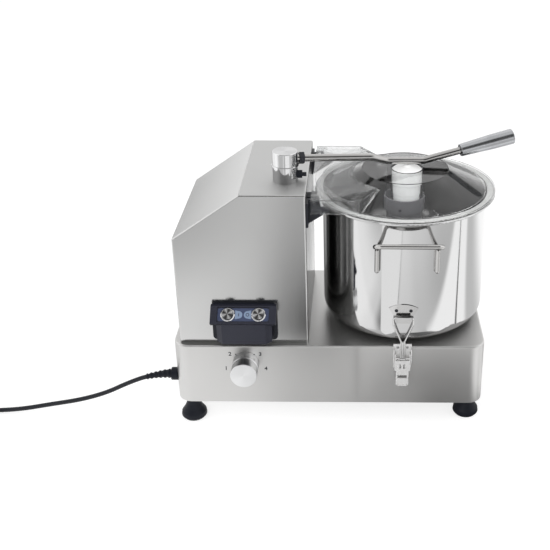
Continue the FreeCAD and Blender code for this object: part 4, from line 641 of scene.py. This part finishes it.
def makeCord():
    curve = bpy.data.curves.new("mains cord line", "CURVE")
    curve.dimensions = "3D"
    curve.bevel_depth = cordRun["diameter"] / 2
    curve.bevel_resolution = 5
    curve.resolution_u = 6
    curve.use_fill_caps = True
    spots = cordRun["route"] + coilPoints() + cordRun["toPlug"]
    points = [Vector((x + cordRun["baseCentre"], y, z)) / 1000 for x, y, z in spots]
    line = curve.splines.new("NURBS")
    line.points.add(len(points) - 1)
    for spot, point in zip(line.points, points):
        spot.co = (*point, 1)
    line.order_u = 3
    line.use_endpoint_u = True
    curve.materials.append(cordSkin)
    cord = keepObject("mains_cord_line", curve)
    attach(cord, "machine")
    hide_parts("mains_cord", "cord_coil")
    return cord, points


def meshOf(thing):
    # the thing as it stands now, as a plain mesh
    bpy.context.view_layer.update()
    return bpy.data.meshes.new_from_object(thing.evaluated_get(bpy.context.evaluated_depsgraph_get()))


def pathOf(curveObject):
    # the smooth line's own points, with no thickness
    bare = curveObject.copy()
    bare.data = curveObject.data.copy()
    bare.data.bevel_depth = 0
    bpy.context.scene.collection.objects.link(bare)
    mesh = meshOf(bare)
    points = [corner.co.copy() for corner in mesh.vertices]
    bpy.data.objects.remove(bare)
    bpy.data.meshes.remove(mesh)
    return points


mainsCord, cordPoints = makeCord()
print("mains cord laid,", len(cordPoints), "points")


def newTree(name, inputs):
    tree = bpy.data.node_groups.new(name, "GeometryNodeTree")
    tree.interface.new_socket("Geometry", in_out="INPUT", socket_type="NodeSocketGeometry")
    for socketName, kind, value in inputs:
        socket = tree.interface.new_socket(socketName, in_out="INPUT", socket_type="NodeSocket" + kind)
        if value is not None:
            socket.default_value = value
    tree.interface.new_socket("Geometry", in_out="OUTPUT", socket_type="NodeSocketGeometry")
    return tree, addNode(tree, "NodeGroupInput").outputs


def closeTree(tree, geometry, finish):
    whole = addNode(tree, "GeometryNodeRealizeInstances", {0: geometry})
    done = addNode(tree, "GeometryNodeSetMaterial", {"Geometry": whole.outputs[0], "Material": finish})
    addNode(tree, "NodeGroupOutput", {"Geometry": done.outputs[0]})
    return tree


def growMesh(name, seedMesh, tree, values):
    # runs the tree on a mesh and keeps what comes out as a plain mesh
    seed = keepObject(name + " seed", seedMesh)
    modifier = seed.modifiers.new("build", "NODES")
    modifier.node_group = tree
    for item in tree.interface.items_tree:
        if item.item_type == "SOCKET" and item.in_out == "INPUT" and item.name in values:
            modifier[item.identifier] = values[item.name]
    mesh = meshOf(seed)
    mesh.name = name
    bpy.data.objects.remove(seed)
    bpy.data.meshes.remove(seedMesh)
    return keepObject(name, mesh)


# ribbed boot that carries the cord out of the base
cordBoot = {
    "thick": 0.0088,
    "thin": 0.0054,
    "ribs": 7.0,
    "ribDepth": 0.0011,
    "steps": 120,
    "reach": 0.042,            # along the cord, from where it leaves the gland
    "collar": 0.0115,
    "collarLong": 0.013,
    "grooveEdge": (0.35, -0.1),
    "collarEdge": (0.012, -0.004),
    "sides": 40,
}


def makeBootTree():
    tree, given = newTree("ribbed boot", [
        ("Thick", "Float", cordBoot["thick"]), ("Thin", "Float", cordBoot["thin"]),
        ("Ribs", "Float", cordBoot["ribs"]), ("Rib Depth", "Float", cordBoot["ribDepth"]),
        ("Collar", "Float", cordBoot["collar"]),
        ("Collar Share", "Float", 0.2), ("Steps", "Int", cordBoot["steps"]), ("Finish", "Material", None)])
    line = addNode(tree, "GeometryNodeMeshToCurve", {0: given["Geometry"]})
    even = addNode(tree, "GeometryNodeResampleCurve", {"Curve": line.outputs[0], "Count": given["Steps"]})
    along = addNode(tree, "GeometryNodeSplineParameter").outputs["Factor"]
    taper = addNode(tree, "ShaderNodeMapRange",
                    {"Value": along, "To Min": given["Thick"], "To Max": given["Thin"]},
                    interpolation_type="SMOOTHSTEP")
    turns = doMath(tree, "MULTIPLY", doMath(tree, "MULTIPLY", along, given["Ribs"]), math.tau)
    groove = smoothStep(tree, doMath(tree, "COSINE", turns), *cordBoot["grooveEdge"])
    deep = doMath(tree, "MULTIPLY", groove, given["Rib Depth"])
    body = doMath(tree, "SUBTRACT", taper.outputs["Result"], deep)
    past = doMath(tree, "SUBTRACT", along, given["Collar Share"])
    collar = smoothStep(tree, past, *cordBoot["collarEdge"])
    raised = addNode(tree, "ShaderNodeMix", {"Factor": collar, "A": body, "B": given["Collar"]},
                     data_type="FLOAT")
    thick = addNode(tree, "GeometryNodeSetCurveRadius",
                    {"Curve": even.outputs[0], "Radius": raised.outputs["Result"]})
    section = addNode(tree, "GeometryNodeCurvePrimitiveCircle", {"Resolution": cordBoot["sides"], "Radius": 1.0})
    skin = addNode(tree, "GeometryNodeCurveToMesh",
                   {"Fill Caps": True, "Curve": thick.outputs[0], "Profile Curve": section.outputs[0]})
    if "Scale" in skin.inputs:
        join(tree, addNode(tree, "GeometryNodeInputRadius").outputs[0], skin.inputs["Scale"])
    return closeTree(tree, skin.outputs[0], given["Finish"])


def makeBoot():
    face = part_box("cord_gland")[1][0]
    exitSpot = cordPoints[0]
    line = [Vector((face, exitSpot.y, exitSpot.z)), exitSpot.copy()]
    travelled = 0.0
    smooth = pathOf(mainsCord)
    for first, second in zip(smooth, smooth[1:]):
        travelled += (second - first).length
        if travelled > cordBoot["reach"]:
            break
        line.append(second.copy())
    mesh = bpy.data.meshes.new("boot line")
    mesh.from_pydata(line, [(step, step + 1) for step in range(len(line) - 1)], [])
    whole = (exitSpot - line[0]).length + cordBoot["reach"]
    boot = growMesh("cord_boot", mesh, makeBootTree(), {
        "Collar Share": cordBoot["collarLong"] / whole, "Finish": blackRubber})
    for side in boot.data.polygons:
        side.use_smooth = True
    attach(boot, "machine")
    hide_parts("cord_gland")


makeBoot()
print("cord boot made")


# screw and rivet heads, all from one tree
heads = {
    "rivet": {"Radius": 0.0030, "Height": 0.0011, "Cross": False},
    "panel": {"Radius": 0.0038, "Height": 0.0019, "Cross": True},
    "small": {"Radius": 0.0026, "Height": 0.0013, "Cross": True},
}
headShape = {"crown": 0.55, "bar": (1.25, 0.26), "lift": 0.95}     # in shares of the radius and the height


def makeHeadTree():
    tree, given = newTree("fastener heads", [
        ("Radius", "Float", 0.003), ("Height", "Float", 0.0015), ("Cross", "Bool", True),
        ("Finish", "Material", None)])
    dome = addNode(tree, "GeometryNodeMeshUVSphere", {"Segments": 28, "Rings": 14, "Radius": 1.0})
    x, y, z = splitAxes(tree, addNode(tree, "GeometryNodeInputPosition").outputs[0])
    crowned = doMath(tree, "POWER", doMath(tree, "MAXIMUM", z, 0.0), headShape["crown"])
    flat = addNode(tree, "ShaderNodeCombineXYZ", {
        "X": doMath(tree, "MULTIPLY", x, given["Radius"]), "Y": doMath(tree, "MULTIPLY", y, given["Radius"]),
        "Z": doMath(tree, "MULTIPLY", crowned, given["Height"])})
    head = addNode(tree, "GeometryNodeSetPosition", {"Geometry": dome.outputs[0], "Position": flat.outputs[0]})

    # a cross cut into the head
    cut = addNode(tree, "GeometryNodeMeshBoolean", {"Mesh 1": head.outputs[0]}, operation="DIFFERENCE",
                  solver="EXACT")
    long, wide = headShape["bar"]
    for across, along in ((long, wide), (wide, long)):
        size = addNode(tree, "ShaderNodeCombineXYZ", {
            "X": doMath(tree, "MULTIPLY", given["Radius"], across),
            "Y": doMath(tree, "MULTIPLY", given["Radius"], along), "Z": given["Height"]})
        bar = addNode(tree, "GeometryNodeMeshCube", {"Size": size.outputs[0]})
        lift = addNode(tree, "ShaderNodeCombineXYZ",
                       {"Z": doMath(tree, "MULTIPLY", given["Height"], headShape["lift"])})
        raised = addNode(tree, "GeometryNodeTransform",
                         {"Geometry": bar.outputs[0], "Translation": lift.outputs[0]})
        join(tree, raised.outputs[0], cut.inputs["Mesh 2"])
    kind = addNode(tree, "GeometryNodeSwitch",
                   {"Switch": given["Cross"], "False": head.outputs[0], "True": cut.outputs["Mesh"]},
                   input_type="GEOMETRY")

    facing = addNode(tree, "GeometryNodeInputNamedAttribute", {"Name": "facing"}, data_type="FLOAT_VECTOR")
    turn = addNode(tree, "FunctionNodeAlignRotationToVector", {"Vector": facing.outputs["Attribute"]}, axis="Z")
    copies = addNode(tree, "GeometryNodeInstanceOnPoints", {
        "Points": given["Geometry"], "Instance": kind.outputs[0], "Rotation": turn.outputs[0]})
    return closeTree(tree, copies.outputs[0], given["Finish"])


headTree = makeHeadTree()


def setHeads(name, kind, spots, body, material):
    # spots are (place, the way the head looks)
    mesh = bpy.data.meshes.new(name + " places")
    mesh.from_pydata([place for place, facing in spots], [], [])
    looks = mesh.attributes.new("facing", "FLOAT_VECTOR", "POINT")
    for item, (place, facing) in zip(looks.data, spots):
        item.vector = facing
    piece = growMesh(name, mesh, headTree, dict(heads[kind], Finish=material))
    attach(piece, body)


def onRing(name, across, height, out):
    # a place on a band that goes round the bowl, from its middle's x
    centre = middleOf("bowl")
    side = -1 if name == "front" else 1
    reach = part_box("bowl")[1][0] - centre.x + out
    offset = Vector((-side * across, side * math.sqrt(reach ** 2 - across ** 2), 0))
    return Vector((centre.x, centre.y, height)) + offset, offset.normalized()


keeperRivets = {"across": (-0.0162, 0.0082), "height": 0.2345, "plate": 0.0016}
backScrews = {"inset": 0.012, "columns": 3, "rows": 4, "slopeHigh": 0.0794, "flatTop": 0.1078, "topShift": 0.035}
floorScrews = {"inset": 0.015, "ends": 0.07, "columns": 5}
bracketScrews = {"across": 0.0085, "below": 0.006, "plate": 0.0016}


def placeHeads():
    rivets = [onRing(side, across, keeperRivets["height"], keeperRivets["plate"])
              for side in ("front", "rear") for across in keeperRivets["across"]]
    setHeads("keeper_rivets", "rivet", rivets, "machine", blackPaint)

    # back panel: a screw at even steps up both sides and along the bottom, and one on the flat top
    low, high = cornersOf("housing_back_panel")
    inset, columns, rows = (backScrews[key] for key in ("inset", "columns", "rows"))
    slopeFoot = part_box("housing_shell")[1][2] - backScrews["slopeHigh"]
    spots = []
    for step in range(rows):
        spots.append((low.x + inset, low.z + inset + (slopeFoot - low.z - 2 * inset) * step / (rows - 1)))
    for step in range(rows + 1):
        spots.append((high.x - inset, low.z + inset + (high.z - low.z - 2 * inset) * step / rows))
    for step in range(1, columns):
        spots.append((low.x + (high.x - low.x) * step / columns, low.z + inset))
    spots.append((high.x - backScrews["flatTop"] / columns - backScrews["topShift"], high.z - inset))
    screws = [((x, high.y, z), (0, 1, 0)) for x, z in spots]
    setHeads("back_panel_screws", "panel", screws, "machine", shaftSteel)

    # floor plate: along both long edges, looking down
    low, high = cornersOf("base_floor_plate")
    inset, ends, columns = (floorScrews[key] for key in ("inset", "ends", "columns"))
    screws = []
    for step in range(columns):
        x = low.x + ends + (high.x - low.x - 2 * ends) * step / (columns - 1)
        for y in (low.y + inset, high.y - inset):
            screws.append(((x, y, low.z), (0, 0, -1)))
    setHeads("floor_plate_screws", "panel", screws, "machine", shaftSteel)

    # latch brackets, two screws in each plate beside the lever
    screws = []
    for side, outward in (("front", -1), ("rear", 1)):
        low, high = cornersOf("latch_bracket_" + side)
        plate = (high.y if side == "front" else low.y) + outward * bracketScrews["plate"]
        for across in (-bracketScrews["across"], bracketScrews["across"]):
            spot = ((low.x + high.x) / 2 + across, plate, high.z - bracketScrews["below"])
            screws.append((spot, (0, outward, 0)))
    setHeads("bracket_screws", "small", screws, "machine", shaftSteel)


placeHeads()
print("fasteners set")


def prism(name, outlines, depth, place, material):
    # flat shapes with a thickness, drawn in their own plane and then put in place
    shell = bmesh.new()
    for outline in outlines:
        rings = []
        for level in (0.0, depth):
            rings.append([shell.verts.new((x, y, level)) for x, y in outline])
        count = len(outline)
        for step in range(count):
            after = (step + 1) % count
            shell.faces.new((rings[0][step], rings[0][after], rings[1][after], rings[1][step]))
        shell.faces.new(rings[0])
        shell.faces.new(rings[1])
    bmesh.ops.recalc_face_normals(shell, faces=shell.faces)
    mesh = bpy.data.meshes.new(name)
    shell.to_mesh(mesh)
    shell.free()
    mesh.transform(place)
    mesh.materials.append(material)
    return keepObject(name, mesh)


def roundedBox(left, right, low, high, radius, steps=6):
    outline = []
    corners = ((right - radius, low + radius, -90), (right - radius, high - radius, 0),
               (left + radius, high - radius, 90), (left + radius, low + radius, 180))
    for x, y, begin in corners:
        for step in range(steps + 1):
            angle = math.radians(begin + 90 * step / steps)
            outline.append((x + radius * math.cos(angle), y + radius * math.sin(angle)))
    return outline


def ringParts(x, y, outer, inner, steps=32):
    # a flat ring as two halves, so that each one is a plain outline
    halves = []
    for begin in (0, 180):
        arc = [math.radians(begin + 180 * step / (steps // 2)) for step in range(steps // 2 + 1)]
        outline = [(x + outer * math.cos(angle), y + outer * math.sin(angle)) for angle in arc]
        outline += [(x + inner * math.cos(angle), y + inner * math.sin(angle)) for angle in reversed(arc)]
        halves.append(outline)
    return halves


# film in the switch box, with a pad that runs from each button to its mark
switchFilm = {
    "middle": (-0.1711, -0.1505, 0.2290),
    "half": 0.0432,
    "halfHigh": 0.0112,
    "corner": 0.0035,
    "padNear": 0.0135,
    "padTip": 0.0012,
    "padHalf": 0.0076,
    "padEnd": 0.0064,
    "film": 0.0003,
    "stroke": (0.0005, 0.0028),
    "strokeCorner": 0.0004,
    "ring": (0.0029, 0.0020),
}


def padOutline(side):
    near, tip, half, radius = (switchFilm[key] for key in ("padNear", "padTip", "padHalf", "padEnd"))
    outline = [(near, -half), (near, half)]
    for step in range(13):
        angle = math.radians(90 + 180 * step / 12)
        outline.append((tip + radius + radius * math.cos(angle), radius * math.sin(angle)))
    return [(side * x, y) for x, y in outline]


def makeSwitchFilm():
    film = switchFilm
    panel = roundedBox(-film["half"], film["half"], -film["halfHigh"], film["halfHigh"], film["corner"])
    middle = (film["padTip"] + film["padNear"]) / 2
    wide, high = film["stroke"]
    stroke = roundedBox(-middle - wide, -middle + wide, -high, high, film["strokeCorner"], 2)
    layers = (("switch_film", [panel], navyFilm), ("switch_pads", [padOutline(-1), padOutline(1)], padFilm),
              ("switch_marks", [stroke] + ringParts(middle, 0, *film["ring"]), darkInk))
    place = Matrix.Translation(film["middle"]) @ Matrix.Rotation(panelLean, 4, "X")
    for name, outlines, material in layers:
        piece = prism(name, outlines, film["film"], place, material)
        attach(piece, "machine")
        place = place @ Matrix.Translation((0, 0, film["film"]))


makeSwitchFilm()
print("switch film laid")


# plain numbers and two dots round the speed knob
dialMarks = {
    "numbers": (("1", -0.0350, -0.0112), ("2", -0.0270, 0.0182), ("3", 0.0255, 0.0182), ("4", 0.0345, -0.0112)),
    "dots": ((-0.0170, 0.0175), (0.0150, 0.0175)),
    "textSize": 0.01053,
    "bolder": 0.00022,
    "dotRadius": 0.0011,
    "ink": 0.00012,
    "weld": 0.000005,
}


def makeDialMarks():
    marks = dialMarks
    knob = middleOf("speed_knob")
    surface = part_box("base_shell")[0][1] - marks["ink"] / 2
    upright = Matrix.Rotation(math.pi / 2, 4, "X")
    shell = bmesh.new()
    for label, x, z in marks["numbers"]:
        text = bpy.data.curves.new("dial number", "FONT")
        text.body = label
        text.size = marks["textSize"]
        text.extrude = marks["ink"] / 2
        text.offset = marks["bolder"]
        text.align_x = "CENTER"
        text.align_y = "CENTER"
        holder = keepObject("dial number", text)
        mesh = meshOf(holder)
        mesh.transform(Matrix.Translation((knob.x + x, surface, knob.z + z)) @ upright)
        shell.from_mesh(mesh)
        bpy.data.objects.remove(holder)
        bpy.data.meshes.remove(mesh)
    for x, z in marks["dots"]:
        place = Matrix.Translation((knob.x + x, surface, knob.z + z)) @ upright
        bmesh.ops.create_cone(shell, cap_ends=True, segments=20, radius1=marks["dotRadius"],
                              radius2=marks["dotRadius"], depth=marks["ink"], matrix=place)
    bmesh.ops.remove_doubles(shell, verts=shell.verts, dist=marks["weld"])
    bmesh.ops.recalc_face_normals(shell, faces=shell.faces)
    mesh = bpy.data.meshes.new("dial_marks")
    shell.to_mesh(mesh)
    shell.free()
    mesh.materials.clear()
    mesh.materials.append(darkInk)
    piece = keepObject("dial_marks", mesh)
    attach(piece, "machine")


makeDialMarks()
print("dial marked")
